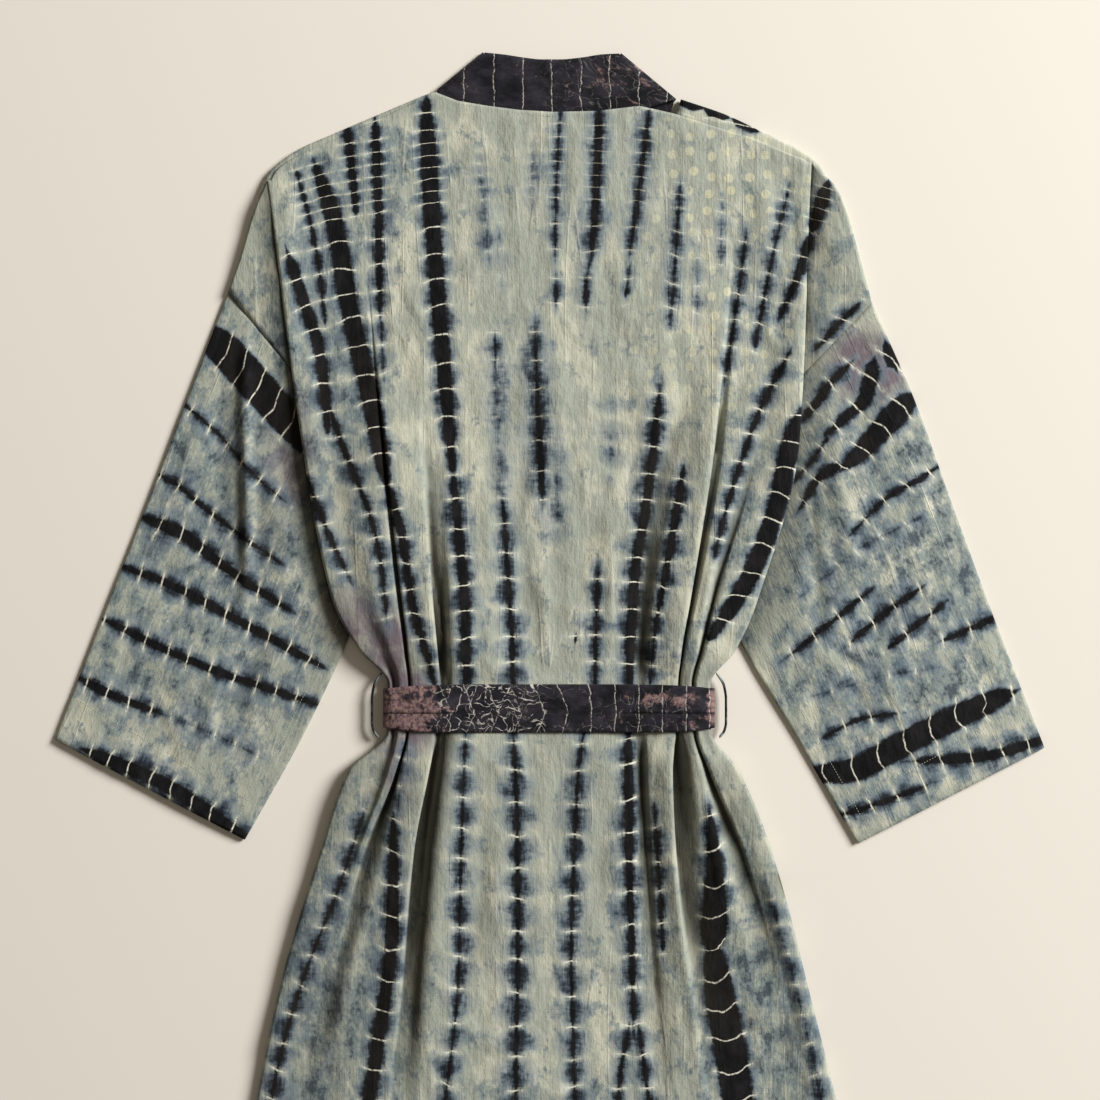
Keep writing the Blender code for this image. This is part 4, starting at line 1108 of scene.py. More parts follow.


# Soft areas: X, Y, reach in X and in Y, and strength. Cream is where little dye took, slate where it
# mottled, dim is painted shade over the folds and beside creases, plum where it split to a dusty red,
# specks where that shows in crackle, knots the fields of small tied dots, and calm where a thread hardly
# draws in a stripe.
AREAS = {
    "cream": (
        (-80, 230, 80, 120, 0.9), (-150, 390, 40, 90, 0.7), (20, 190, 70, 120, 0.8), (-60, -60, 60, 60, 0.5),
        (130, 60, 50, 120, 0.9), (150, 260, 60, 120, 0.6), (-20, -330, 150, 150, 0.6),
        (-210, -330, 60, 160, 0.4), (-180, 120, 40, 120, 0.9), (-340, 80, 80, 120, 0.7),
        (340, 100, 70, 120, 0.8), (-380, -60, 90, 60, 0.9), (360, -30, 110, 70, 0.8),
        (-130, 480, 60, 60, 0.4), (0, -520, 220, 100, 0.5), (-110, 60, 30, 90, 0.7),
        (268, 420, 30, 60, 0.6),
    ),
    "slate": (
        (-240, 300, 70, 200, 0.9), (-340, 120, 150, 260, 1.0), (350, 60, 150, 260, 1.0),
        (270, 380, 60, 90, 0.5), (-230, -330, 100, 230, 1.0), (220, -380, 90, 230, 0.9),
        (-180, 490, 90, 70, 0.8), (110, 30, 60, 60, 0.5), (0, -520, 300, 120, 0.6), (-40, 30, 90, 40, 0.3),
        (60, -300, 90, 120, 0.3), (-160, 60, 50, 120, 0.7), (200, 150, 50, 150, 0.6),
    ),
    # dim: painted shade, darker over the folds and beside the sleeves' creases.
    "dim": (
        (-190, 20, 60, 90, 0.3), (-200, -130, 70, 120, 0.34), (-230, -330, 80, 220, 0.3),
        (-200, 200, 50, 120, 0.24), (200, -120, 40, 60, 0.2), (150, -90, 20, 60, 0.15),
        (-319, 215, 13, 110, 0.4), (-280, 130, 30, 60, 0.3),
    ),
    "plum": (
        (-196, 50, 28, 34, 0.5), (-160, 22, 22, 40, 0.7), (-152, -100, 12, 44, 0.8), (318, 298, 36, 34, 0.9),
        (-150, -41, 44, 40, 1.0), (163, -41, 9, 26, 0.9), (118, -34, 40, 11, 0.6), (70, 590, 30, 22, 0.4),
        (100, 596, 26, 26, 0.35), (-96, 600, 22, 20, 0.3), (-262, 210, 26, 60, 0.35), (140, -56, 30, 8, 0.4),
    ),
    "calm": ((60, 470, 120, 130, 0.9), (-30, 250, 50, 120, 1.0), (220, 420, 60, 100, 0.4)),
    "specks": ((70, -60, 90, 5, 1.0), (96, -40, 50, 14, 0.9), (-20, -24, 60, 8, 0.5)),
    "knots": ((170, 480, 95, 90, 1.0), (180, 350, 80, 110, 0.9), (120, 300, 60, 80, 0.5)),
}


# Painted shade along the hollows and slits of the folds: strength, half width, lean, path.
PAINTED_SHADE_LINES = (
    (0.92, 9, 0, ((-104, 90), (-102, -62), (-108, -103), (-117, -180), (-132, -333), (-146, -500))),
    (0.6, 7, 0, ((-103, 20), (-107, 60), (-112, 100), (-120, 170))),
    (0.75, 10, 0, ((140, 70), (136, -90), (136, -151), (142, -200), (147, -250), (152, -300), (162, -450))),
    (0.4, 8, 0, ((98, -40), (97, -100), (101, -180), (103, -260), (110, -330), (126, -430))),
    (0.78, 10, 0, ((-160, -90), (-173, -174), (-182, -203), (-190, -245), (-204, -290), (-240, -450))),
    (0.95, 3, 0, ((-227, -170), (-234, -192), (-243, -222))),
    (0.95, 3, 0, ((225, -198), (232, -218), (240, -238))),
    (0.45, 4, 0, ((172, -108), (184, -142), (196, -170), (204, -186))),
    (0.4, 5, 0, ((186, -170), (200, -200), (214, -232), (226, -262))),
    (0.3, 8, 0, ((-312, 350), (-315, 260), (-312, 190), (-311, 120), (-318, 30))),
    (0.5, 5, 0, ((262, 226), (266, 150), (270, 90), (282, 10))),
    (0.4, 4, 0, ((282, 250), (276, 200), (286, 130), (292, 60))),
    (0.5, 4, 0, ((258, 366), (266, 320), (270, 282), (262, 240))),
    (0.35, 4, 0, ((282, 372), (272, 330), (262, 300))),
    (0.35, 5, 0, ((-128, 40), (-122, 0), (-118, -20))),
    (0.4, 5, 0, ((96, 300), (90, 240), (98, 170), (94, 100))),
)


def area(plan, name):
    """How strong a kind of soft area is at each point: the strongest of its spots there."""
    total = np.zeros(plan.shape[:-1])
    for x, y, wide, tall, strength in AREAS[name]:
        reach = ((plan[..., 0] - x) / wide) ** 2 + ((plan[..., 1] - y) / tall) ** 2
        total = np.maximum(total, strength * np.exp(-reach ** 1.5))
    return total


# Making meshes.
def put(name, points, faces, material):
    """An object in the scene, from points in millimetres and faces."""
    mesh = bpy.data.meshes.new(name)
    mesh.from_pydata((np.asarray(points) * MM).tolist(), [], faces)
    mesh.materials.append(material)
    mesh.shade_smooth()
    piece = bpy.data.objects.new(name, mesh)
    bpy.context.scene.collection.objects.link(piece)
    return piece


def give(piece, name, values):
    """Stores three numbers a vertex as an attribute that the piece's material reads."""
    attribute = piece.data.attributes.new(name, "FLOAT_VECTOR", "POINT")
    attribute.data.foreach_set("vector", np.asarray(values, np.float32).ravel())


def grid_faces(rows, columns, ring):
    """The quads of a grid; with ring, the last column joins the first."""
    index = np.arange(rows * columns).reshape(rows, columns)
    beside_it = np.roll(index, -1, axis=1) if ring else index[:, 1:]
    here = index if ring else index[:, :-1]
    return np.stack([here[:-1], beside_it[:-1], beside_it[1:], here[1:]], axis=-1).reshape(-1, 4)


def sheet(name, grid, wall, material, ring=False):
    """A piece of cloth from the grid of the middle of its wall; Solidify adds half on either side."""
    rows, columns = grid.shape[:2]
    piece = put(name, grid.reshape(-1, 3), grid_faces(rows, columns, ring).tolist(), material)
    thicken = piece.modifiers.new("wall", "SOLIDIFY")
    thicken.thickness = wall * MM
    thicken.offset = 0
    return piece


# Hollows get painted shade: the columns to each side that are looked at, and the depth past DEEP_FROM
# that is shaded darkest. From the first Y of SHALLOW to the second it loses up to SHALLOW_LOSS of that.
DEEP = {4: 2.8, 9: 3.6}
DEEP_FROM = 0.3
SHALLOW = (150, 300)
SHALLOW_LOSS = 0.7


def hollows(grid):
    """How deep each point lies below the cloth to its left and right, from 0 to 1: the mean height of
    some columns to both sides, less the point's own, over DEEP. Less of it shows near the shoulders."""
    z = grid[..., 2]
    depth = 0
    for reach, full in DEEP.items():
        around = np.array([np.roll(z, shift, axis=1) for shift in range(-reach, reach + 1)])
        depth = np.maximum(depth, np.clip((around.mean(axis=0) - z - DEEP_FROM) / full, 0, 1))
    for _ in range(3):
        depth = (np.roll(depth, 1, axis=1) + 2 * depth + np.roll(depth, -1, axis=1)) / 4
    return (depth * (1 - SHALLOW_LOSS * smoothstep(*SHALLOW, grid[..., 1]))).reshape(-1)


def fold_shade(side, grid):
    """Painted shade where cloth lies beside a side fold: darkest at the fold, fading outside it."""
    off = side * (grid[..., 0] - side_fold_x(side, grid[..., 1]))
    parts = [most * np.exp(-(np.maximum(off, 0) / reach) ** 2) for most, reach in FOLD_SHADE[side]]
    return np.maximum(*parts)


def dye(piece, grid, stripes, rows, pitch, cloth, calm=0.0, shade=0.0):
    """Stores where a piece's dye lies: its stripes, thread rows, soft areas and the cloth's own lay, and
    its painted shade in hollows, along folds and beside the side folds. The calmer a place, the less a
    stripe draws in at each thread."""
    plan = grid[..., :2].reshape(-1, 2)
    phase = rows(plan) - SWAY / 2
    for k, layer in enumerate(stripe_layers(stripes)):
        field = stripe_field(plan, layer)
        give(piece, f"stripes_{k}", field)
        arch = ARCH * smoothstep(*WIDE, field[:, 1]) * np.maximum(1 - (field[:, 0] / ARCH_REACH) ** 2, 0)
        phase -= arch * np.where(plan[:, 1] > WAIST, 1, ARCH_BELOW)
    give(piece, "rows", np.stack([phase, np.full(len(plan), pitch), area(plan, "knots")], axis=-1))
    give(piece, "areas", np.stack([area(plan, n) for n in ("cream", "slate", "plum")], axis=-1))
    give(piece, "cloth", np.column_stack([cloth(plan), np.zeros(len(plan))]) * MM)
    # Painted shade: in hollows, over the dim areas, along the fold lines and beside the side folds.
    deep = np.maximum(hollows(grid), area(plan, "dim"))
    deep = np.maximum(deep, np.maximum(creased(plan, PAINTED_SHADE_LINES), np.ravel(shade)))
    faint = area(plan, "calm")
    give(piece, "deep", np.stack([deep, np.maximum(faint, calm), faint], axis=-1))


def heading_cloth(heading):
    """Across and along the cloth, where its warp runs at a heading in plan."""
    turn = np.radians(heading)
    frame_axes = np.array([[np.sin(turn), np.cos(turn)], [-np.cos(turn), np.sin(turn)]])
    return lambda plan: plan @ frame_axes


# Materials.
def linear(code):
    """Linear colour from sRGB hex."""
    values = np.array([int(code[i:i + 2], 16) for i in (1, 3, 5)]) / 255
    low = values / 12.92
    high = ((values + 0.055) / 1.055) ** 2.4
    return (*np.where(values <= 0.04045, low, high), 1)


def add_node(tree, kind, settings=(), links=()):
    """Adds a node, gives it its settings, and fills its sockets, by name or in order, from values, hex
    colours, sockets or other nodes."""
    made = tree.nodes.new("ShaderNode" + kind)
    for name, value in dict(settings).items():
        setattr(made, name, value)
    for socket, source in (links if isinstance(links, dict) else dict(enumerate(links))).items():
        if isinstance(source, bpy.types.Node):
            source = next(output for output in source.outputs if output.enabled)
        if isinstance(source, bpy.types.NodeSocket):
            tree.links.new(source, made.inputs[socket])
        else:
            made.inputs[socket].default_value = linear(source) if isinstance(source, str) else source
    return made


def new_material(name, roughness, specular=0.15, sheen=0.0):
    """A matt material, with a slight sheen from loose fibres if it is cloth, and its tree's adder."""
    material = bpy.data.materials.new(name)
    material.use_nodes = True
    sockets = material.node_tree.nodes["Principled BSDF"].inputs
    for socket, value in (("Roughness", roughness), ("Specular IOR Level", specular),
                          ("Sheen Weight", sheen), ("Sheen Roughness", 0.45)):
        sockets[socket].default_value = value
    return material, partial(add_node, material.node_tree)


# Kinds of node with their settings. A Mix node has its share and its two colours on sockets 0, 6 and 7.
MIX = ("Mix", {"data_type": "RGBA", "clamp_factor": True})
SMOOTH = ("MapRange", {"interpolation_type": "SMOOTHSTEP"})
STRAIGHT = ("MapRange", {"interpolation_type": "LINEAR"})
PLUS, LESS, TIMES, TIMES_PLUS, OVER, SIZE, LARGER, FOLDED = (("Math", {"operation": name}) for name in (
    "ADD", "SUBTRACT", "MULTIPLY", "MULTIPLY_ADD", "DIVIDE", "ABSOLUTE", "MAXIMUM", "PINGPONG"))
PLUS_CLAMPED, LESS_CLAMPED, TIMES_CLAMPED = (("Math", {"operation": name, "use_clamp": True})
                                             for name in ("ADD", "SUBTRACT", "MULTIPLY"))
STRETCHED = ("VectorMath", {"operation": "MULTIPLY"})
SHIFTED = ("VectorMath", {"operation": "MULTIPLY_ADD"})
FLAT_NOISE = ("TexNoise", {"noise_dimensions": "2D"})
FLAT_CELLS = ("TexVoronoi", {"voronoi_dimensions": "2D"})
CELL_EDGES = ("TexVoronoi", {"voronoi_dimensions": "2D", "feature": "DISTANCE_TO_EDGE"})

WAVE = 0.314  # the length of one of the Wave Texture's waves at a scale of 1
THREAD = 0.0024  # real threads lie 0.35 mm apart, too fine to show, so they are drawn coarser
TWIST = 0.0008  # of the sewing thread
STREAK = 0.0026  # the crinkle of the cloth, across its warp
KNOT_PITCH = 0.0195  # between the small tied dots

# Flat noises by name: stretch across and along the cloth, lumps a metre, detail and roughness.
CRINKLE = {"streaks": (1, 0.14, 1 / STREAK, 3, 0.6), "lumps": (1, 0.55, 62, 5, 0.6)}
TIE_DYE = {
    "blots": (1, 0.72, 54, 4, 0.56), "feather": (1, 0.72, 300, 4, 0.62), "fringe": (0.5, 1.3, 170, 5, 0.66),
    "patches": (1, 0.6, 30, 3, 0.5), "bends": (1, 0.07, 34, 1, 0.4), "sway": (1, 1, 16, 3, 0.6),
}
OVERDYE = {"blots": (1, 1, 85, 4, 0.62), "fine": (1, 1, 260, 4, 0.65), "sway": (1, 1, 70, 3, 0.6)}


def cloth_material(name, roughness, sheen, noises):
    """A woven cloth's material, its tree's adder, where the cloth lies, its plain weave, and its crinkle
    and other flat noises in the order of their table."""
    material, add = new_material(name, roughness, sheen=sheen)
    cloth = add("Attribute", {"attribute_name": "cloth"}).outputs["Vector"]
    weave, drawn = [], []
    for direction in ("X", "Y"):
        weave.append(add("TexWave", {"bands_direction": direction},
                         {0: cloth, "Scale": WAVE / THREAD, "Distortion": 0.6, "Detail Scale": 2}))
    for across, lengthways, scale, detail, rough in {**CRINKLE, **noises}.values():
        place = add(*STRETCHED, (cloth, (across, lengthways, 1)))
        drawn.append(add(*FLAT_NOISE, {0: place, "Scale": scale, "Detail": detail, "Roughness": rough}))
    return material, add, cloth, add(*TIMES, weave), drawn


def finish_cloth(material, add, colour, layers, heights):
    """Lays colours over the first one, each by its share, joins the last to the shader, and bumps it by
    a sum of heights, each with its depth in millimetres."""
    for share, over in layers:
        colour = add(*MIX, {0: share, 6: colour, 7: over})
    total = 0.0
    for height, depth in heights:
        total = add(*TIMES_PLUS, (height, depth, total))
    bump = add("Bump", {}, {"Height": total, "Strength": 1.0, "Distance": MM})
    shader = material.node_tree.nodes["Principled BSDF"]
    material.node_tree.links.new(bump.outputs["Normal"], shader.inputs["Normal"])
    material.node_tree.links.new(colour.outputs[2], shader.inputs["Base Color"])
    return material


def parts_of(add, name):
    """The three numbers of an attribute."""
    attribute = add("Attribute", {"attribute_name": name})
    return add("SeparateXYZ", {}, {0: attribute.outputs["Vector"]}).outputs


def tie_dyed_cotton():
    """Plain-woven cotton, stitched, gathered and dipped: sage ground with cream patches, black stripes
    that bleed slate blue, and pale lines where the thread kept the dye out. The eye sees matt, finely
    crinkled cloth, its dye sharp at the threads and soft between them. Hollows and the crooks of folds
    are darkened with painted shade."""
    material, add, cloth, weave, noises = cloth_material("tie_dyed_cotton", 0.86, 0.04, TIE_DYE)
    streaks, lumps, blots, feather, fringe, patches, bends, sway = noises
    middle = 0.5
    streak, fleck, blot, spike, bend = (add(*LESS, (field, middle))
                                        for field in (streaks, feather, blots, fringe, bends))
    number, pitch, knotted = parts_of(add, "rows")
    creamy, slaty, plummy = parts_of(add, "areas")
    # deep is painted shade; calm and faint are how little the threads draw the stripes in.
    deep, calm, faint = parts_of(add, "deep")

    # Fine pressed-in lines where a noise crosses its middle, gone in places.
    lined = add(*SMOOTH, (add(*SIZE, (bend,)), 0.0, 0.03, 1.0, 0.0))
    lined = add(*TIMES, (lined, add(*SMOOTH, (patches, 0.4, 0.6))))

    # Thread rows: how near the next one is, in rows and in millimetres.
    to_row = add(*FOLDED, (add(*TIMES_PLUS, (sway, SWAY, number)), 0.5))
    row_mm = add(*TIMES, (to_row, pitch))
    bead = add(*LARGER, (add(*SMOOTH, (to_row, 0.0, 0.42)), calm))

    # Stripes: the depth inside the nearest core, and the strength of the bleed round it. The cloth was
    # pulled in at a thread, so a narrow stripe is thinner there, and all of them bleed less.
    uneven = add(*TIMES_PLUS, (patches, 0.8, blots))
    uneven = add(*STRAIGHT, (uneven, 0.65, 1.15, 0.8, 2.3))
    spread = add(*TIMES, (add(*STRAIGHT, (bead, 0.0, 1.0, 0.6, 1.15)), uneven))
    pinch = add(*STRAIGHT, (bead, 0.0, 1.0, -0.9, 0.4))
    inside, bleed = -60.0, 0.0
    for k in range(LAYERS):
        offset, half_width, reach = parts_of(add, f"stripes_{k}")
        narrow = add(*STRAIGHT, (half_width, 3.0, 7.0, 1.0, 0.1))
        depth = add(*LESS, (half_width, add(*SIZE, (offset,))))
        depth = add(*TIMES_PLUS, (narrow, pinch, depth))
        width = add(*TIMES_PLUS, (reach, spread, 0.8))
        inside = add(*LARGER, (depth, inside))
        share = add(*PLUS_CLAMPED, (add(*OVER, (depth, width)), 1.0))
        bleed = add(*LARGER, (share, bleed))
    edge = add(*TIMES_PLUS, (spike, 4.2, add(*TIMES_PLUS, (streak, 1.2, inside))))
    core = add(*SMOOTH, (edge, -1.4, 1.2))
    cloudy = add(*TIMES_PLUS, (spike, 0.6, add(*TIMES_PLUS, (blot, 0.6, 0.92))))
    bleed = add(*TIMES_CLAMPED, (bleed, add(*TIMES_PLUS, (streak, 0.4, cloudy))))
    black = add(*MIX, {0: add(*SMOOTH, (lumps, 0.35, 0.7)), 6: "#0b0a0b", 7: "#1b1919"})

    # Ground: sage, cream where little dye took, slate clouds, tied dots, rubbed lines, plum.
    sage = add(*MIX, {0: add(*SMOOTH, (streaks, 0.25, 0.75)), 6: "#989c8f", 7: "#a6a899"})
    rim = add(*SMOOTH, (inside, -34.0, -10.0, 0.0, 0.04))
    cream = add(*PLUS, (rim, add(*TIMES_PLUS, (creamy, 0.17, patches))))
    cream = add(*TIMES_PLUS, (blot, 0.3, add(*TIMES_PLUS, (fleck, 0.1, cream))))
    cloud = add(*TIMES_PLUS, (slaty, 0.26, add(*TIMES_PLUS, (fleck, 0.4, blots))))
    knots = add(*FLAT_CELLS, {0: cloth, "Scale": 1 / KNOT_PITCH, "Randomness": 0.45})
    dots = add(*TIMES, (add(*SMOOTH, (knots, 0.2, 0.26, 0.75, 0.0)), knotted))

    # The pale marks of the thread: a thin line over the stripe, and wings beside its core.
    near = add(*SMOOTH, (inside, -10.0, -1.5))
    broken = add(*SMOOTH, (feather, 0.36, 0.52, 0.3, 1.0))
    broken = add(*TIMES, (broken, add(*STRAIGHT, (faint, 0.0, 1.0, 1.0, 0.35))))
    thin = add(*TIMES, (add(*SMOOTH, (row_mm, 0.3, 1.05, 0.95, 0.0)), broken))
    beside_core = add(*LESS_CLAMPED, (add(*SMOOTH, (inside, -16.0, -3.0)), core))
    wings = add(*TIMES, (add(*SMOOTH, (row_mm, 0.3, 5.0, 0.55, 0.0)), beside_core))
    pucker = add(*TIMES, (add(*SMOOTH, (row_mm, 0.0, 3.0, -1.0, 0.0)), near))
    layers = (
        (add(*SMOOTH, (cream, 0.5, 0.76, 0.0, 0.8)), "#c3c0ab"),
        (add(*SMOOTH, (cloud, 0.58, 0.76, 0.0, 0.75)), "#6c797d"),
        (add(*SMOOTH, (cloud, 0.76, 0.92, 0.0, 0.85)), "#3d474f"),
        (dots, "#cac5a5"),
        (add(*TIMES, (lined, 0.26)), "#c4c3b3"),
        (add(*TIMES_CLAMPED, (plummy, uneven)), "#71666b"),
        (add(*STRAIGHT, (bleed, 0.04, 0.8, 0.0, 0.85)), "#707d86"),
        (add(*SMOOTH, (bleed, 0.5, 0.9, 0.0, 0.9)), "#3d4852"),
        (add(*SMOOTH, (bleed, 0.74, 1.0, 0.0, 0.9)), "#181a1f"),
        (core, black),
        (add(*TIMES, (wings, broken)), "#c6c7b6"),
        (add(*TIMES, (near, thin)), "#dcd8c6"),
        # painted shade, dark olive-brown, in hollows and beside folds
        (add(*STRAIGHT, (deep, 0.0, 1.0, 0.0, 0.93)), "#211d12"),
    )
    return finish_cloth(material, add, sage, layers,
                        ((streaks, 0.26), (lumps, 2.1), (weave, 0.05), (pucker, 0.3), (lined, 0.26)))


def overdyed_cotton():
    """The same cotton, doubled and dyed nearly black: the eye sees a dense, soft black with pale tie
    lines across it, a net of fine crackle, and plum patches where the dye split. The fold pressed
    along the sash is darkened with painted shade."""
    material, add, cloth, weave, noises = cloth_material("overdyed_cotton", 0.76, 0.06, OVERDYE)
    streaks, lumps, blots, fine, sway = noises
    number, pitch, tied = parts_of(add, "rows")
    strokes, netted, plummy = parts_of(add, "areas")
    # deep is painted shade in the fold pressed along the sash.
    deep = parts_of(add, "deep")[0]
    black = add(*MIX, {0: add(*SMOOTH, (lumps, 0.3, 0.7)), 6: "#0f0e12", 7: "#2d2a30"})
    tone = add(*MIX, {0: add(*SMOOTH, (fine, 0.36, 0.62)), 6: "#57434a", 7: "#8c7069"})
    spots = add(*SMOOTH, (blots, 0.36, 0.46, 0.75, 0.0))
    tone = add(*MIX, {0: spots, 6: tone, 7: "#2c2226"})
    plum = add(*TIMES_PLUS, (plummy, 0.42, blots))

    # Crackle: a net of cells' edges, gone in places, and slanting strokes.
    wander = add(*FLAT_NOISE, {0: cloth, "Scale": 60, "Detail": 1}).outputs["Color"]
    bent = add(*SHIFTED, (wander, (0.02, 0.02, 0), cloth))
    cracks = add(*CELL_EDGES, {0: bent, "Scale": 78})
    cracks = add(*SMOOTH, (cracks, 0.015, 0.05, 0.65, 0.0))
    cracks = add(*TIMES, (cracks, add(*SMOOTH, (fine, 0.42, 0.54))))
    crossed = add("Mapping", {}, {0: bent, "Rotation": (0, 0, -0.85), "Scale": (1, 0.3, 1)})
    dashes = add(*CELL_EDGES, {0: crossed, "Scale": 150})
    dashes = add(*SMOOTH, (dashes, 0.02, 0.07, 0.85, 0.0))
    dashes = add(*TIMES, (dashes, add(*SMOOTH, (blots, 0.48, 0.6))))

    # Tie lines.
    to_row = add(*FOLDED, (add(*TIMES_PLUS, (sway, 0.22, number)), 0.5))
    row_mm = add(*TIMES, (to_row, pitch))
    line = add(*SMOOTH, (row_mm, 0.15, 0.7, 0.75, 0.0))
    line = add(*TIMES, (line, add(*SMOOTH, (fine, 0.38, 0.55, 0.1, 1.0))))
    pucker = add(*TIMES, (add(*SMOOTH, (row_mm, 0.0, 2.5, -1.0, 0.0)), tied))
    layers = (
        (add(*SMOOTH, (plum, 0.66, 0.84, 0.0, 0.95)), tone),
        (add(*TIMES, (cracks, netted)), "#cdc7bc"),
        (add(*TIMES, (dashes, strokes)), "#cfc9be"),
        (add(*TIMES, (line, tied)), "#c6c0b4"),
        # painted shade in the pressed fold
        (add(*STRAIGHT, (deep, 0.0, 1.0, 0.0, 0.85)), "#0b090a"),
    )
    return finish_cloth(material, add, black, layers,
                        ((streaks, 0.3), (lumps, 1.6), (weave, 0.06), (pucker, 0.25)))


def sewing_thread(name, code):
    """Spun cotton thread, plain and slightly fuzzy: a thin line that is a little lighter on top."""
    material, add = new_material(name, 0.6, sheen=0.3)
    place = add("TexCoord").outputs["Object"]
    twist = add("TexNoise", {}, {0: place, "Scale": 1 / TWIST, "Detail": 2})
    colour = add(*MIX, {0: twist, 6: code, 7: "#8d8f84"})
    return finish_cloth(material, add, colour, (), ((twist, 0.05),))


# Sewing: pitch, length and radius of a stitch, and how far inside an edge a row lies. The rows leave out
# the first rings of a sleeve and the columns at the back's sides.
SEAM_STITCH = (3.0, 2.1, 0.28)
SEAM_INSET = 13
SEAM_SKIP = 8
HEM_INSET = 24
HEM_SKIP = 24
# Shape of a stitch from end to end: its thickness in radii, and its height in radii above the path.
STITCH_THICK = (0.45, 1, 1, 0.45)
STITCH_ARCH = (-0.4, 0.4, 0.4, -0.4)
STITCH_SIDES = 5
# Tacks: short stitches side by side, TACK_DROP below the neck seam, from TACK_START on.
TACK_STITCH = (3.6, 2.4, 0.3)
TACKS = 8
TACK_START = -20
TACK_GAP = 2.7
TACK_DROP = 6.5
TACK_WAY = (0.5, 3.6, 0)


def stitch_row(paths, pitch, length, radius):
    """Stitches laid end to end along paths in space: points and faces. Each is a five-sided bead, thin
    at its ends, whose middle stands half its thickness above the path."""
    sides, stations = STITCH_SIDES, len(STITCH_THICK)
    turn = np.linspace(0, 2 * np.pi, sides, endpoint=False)[None, None, :, None]
    run = np.linspace(-0.5, 0.5, stations)[None, :, None, None]
    thick = radius * np.array(STITCH_THICK)[None, :, None, None]
    ends = []
    for path in paths:
        path = np.asarray(path, float)
        lengths = distances(path)
        centres = np.arange(pitch / 2, lengths[-1], pitch)
        ends.append([np.stack([np.interp(centres + s, lengths, axis) for axis in path.T], axis=-1)
                     for s in (-length / 2, length / 2)])
    first, last = np.concatenate(ends, axis=1)
    way = (last - first)[:, None, None]
    unit = way / np.linalg.norm(way, axis=-1, keepdims=True)
    aside = np.cross(unit, (0, 0, 1))
    aside /= np.linalg.norm(aside, axis=-1, keepdims=True)
    ring = aside * np.cos(turn) + np.cross(aside, unit) * np.sin(turn)
    points = (first + last)[:, None, None] / 2 + way * run + ring * thick
    points[..., 2] += (radius * np.array(STITCH_ARCH))[None, :, None]
    index = np.arange(points[..., 0].size).reshape(len(first), stations, sides)
    after = np.roll(index, -1, axis=2)
    tube = np.stack([index[:, :-1], index[:, 1:], after[:, 1:], after[:, :-1]], axis=-1).reshape(-1, 4)
    return points.reshape(-1, 3), tube.tolist() + index[:, 0].tolist() + index[:, -1, ::-1].tolist()


def beside_edge(grid, inset):
    """A line on a sleeve's top, a given distance inside its underarm edge."""
    top = grid[:, SLEEVE_TURN:SLEEVE_TURN + SLEEVE_ACROSS]
    from_edge = np.linalg.norm(top - top[:, -1:], axis=-1) + ROLL
    return np.array([[np.interp(inset, gap[::-1], axis[::-1]) for axis in points.T]
                     for gap, points in zip(from_edge, top)])


def body_cloth(grids, material):
    """The back, the fronts, the sleeves and the belt loops, with their dye and painted shade."""
    pieces = {}
    upright = heading_cloth(UPRIGHT)
    for name in ("back", "front_left", "front_right"):
        grid = grids[name]
        stripes = BODY_STRIPES + (SHOULDER_PATCHES if name == "front_right" else ())
        shade = np.zeros(grid.shape[:2])
        if name == "back":
            for side, columns in ((LEFT, slice(WING_COLUMNS)), (RIGHT, slice(-WING_COLUMNS, None))):
                shade[:, columns] = fold_shade(side, grid[:, columns])
        pieces[name] = sheet("cloth_" + name, grid, WALL, material)
        dye(pieces[name], grid, stripes, body_rows, BODY_PITCH, upright, shade=shade)
    for side, name in SIDES.items():
        key = "sleeve_" + name
        pieces[key] = sheet("cloth_" + key, grids[key], WALL, material, ring=True)
        dye(pieces[key], grids[key], SLEEVE_STRIPES[side], partial(sleeve_rows, side), SLEEVE_PITCH[side],
            heading_cloth(UPRIGHT + SLEEVE_SLANT * side), SLEEVE_CALM[side], fold_shade(side, grids[key]))
        key = "belt_loop_" + name
        faces = grid_faces(LOOP_STEPS, LOOP_AROUND, True).tolist()
        ends = np.arange(LOOP_STEPS * LOOP_AROUND).reshape(LOOP_STEPS, LOOP_AROUND)
        faces += [ends[0, ::-1].tolist(), ends[-1].tolist()]
        pieces[key] = put("cloth_" + key, grids[key].reshape(-1, 3), faces, material)
        loop_x = SASH_ENDS[side] + side * (LOOP_OUT - 1)
        stripe = (*LOOP_STRIPE, ((loop_x, WAIST + LOOP_DYED), (loop_x, WAIST - LOOP_DYED)))
        dye(pieces[key], grids[key], (stripe,), lambda plan: np.full(len(plan), 0.5), BODY_PITCH, upright)
    return pieces


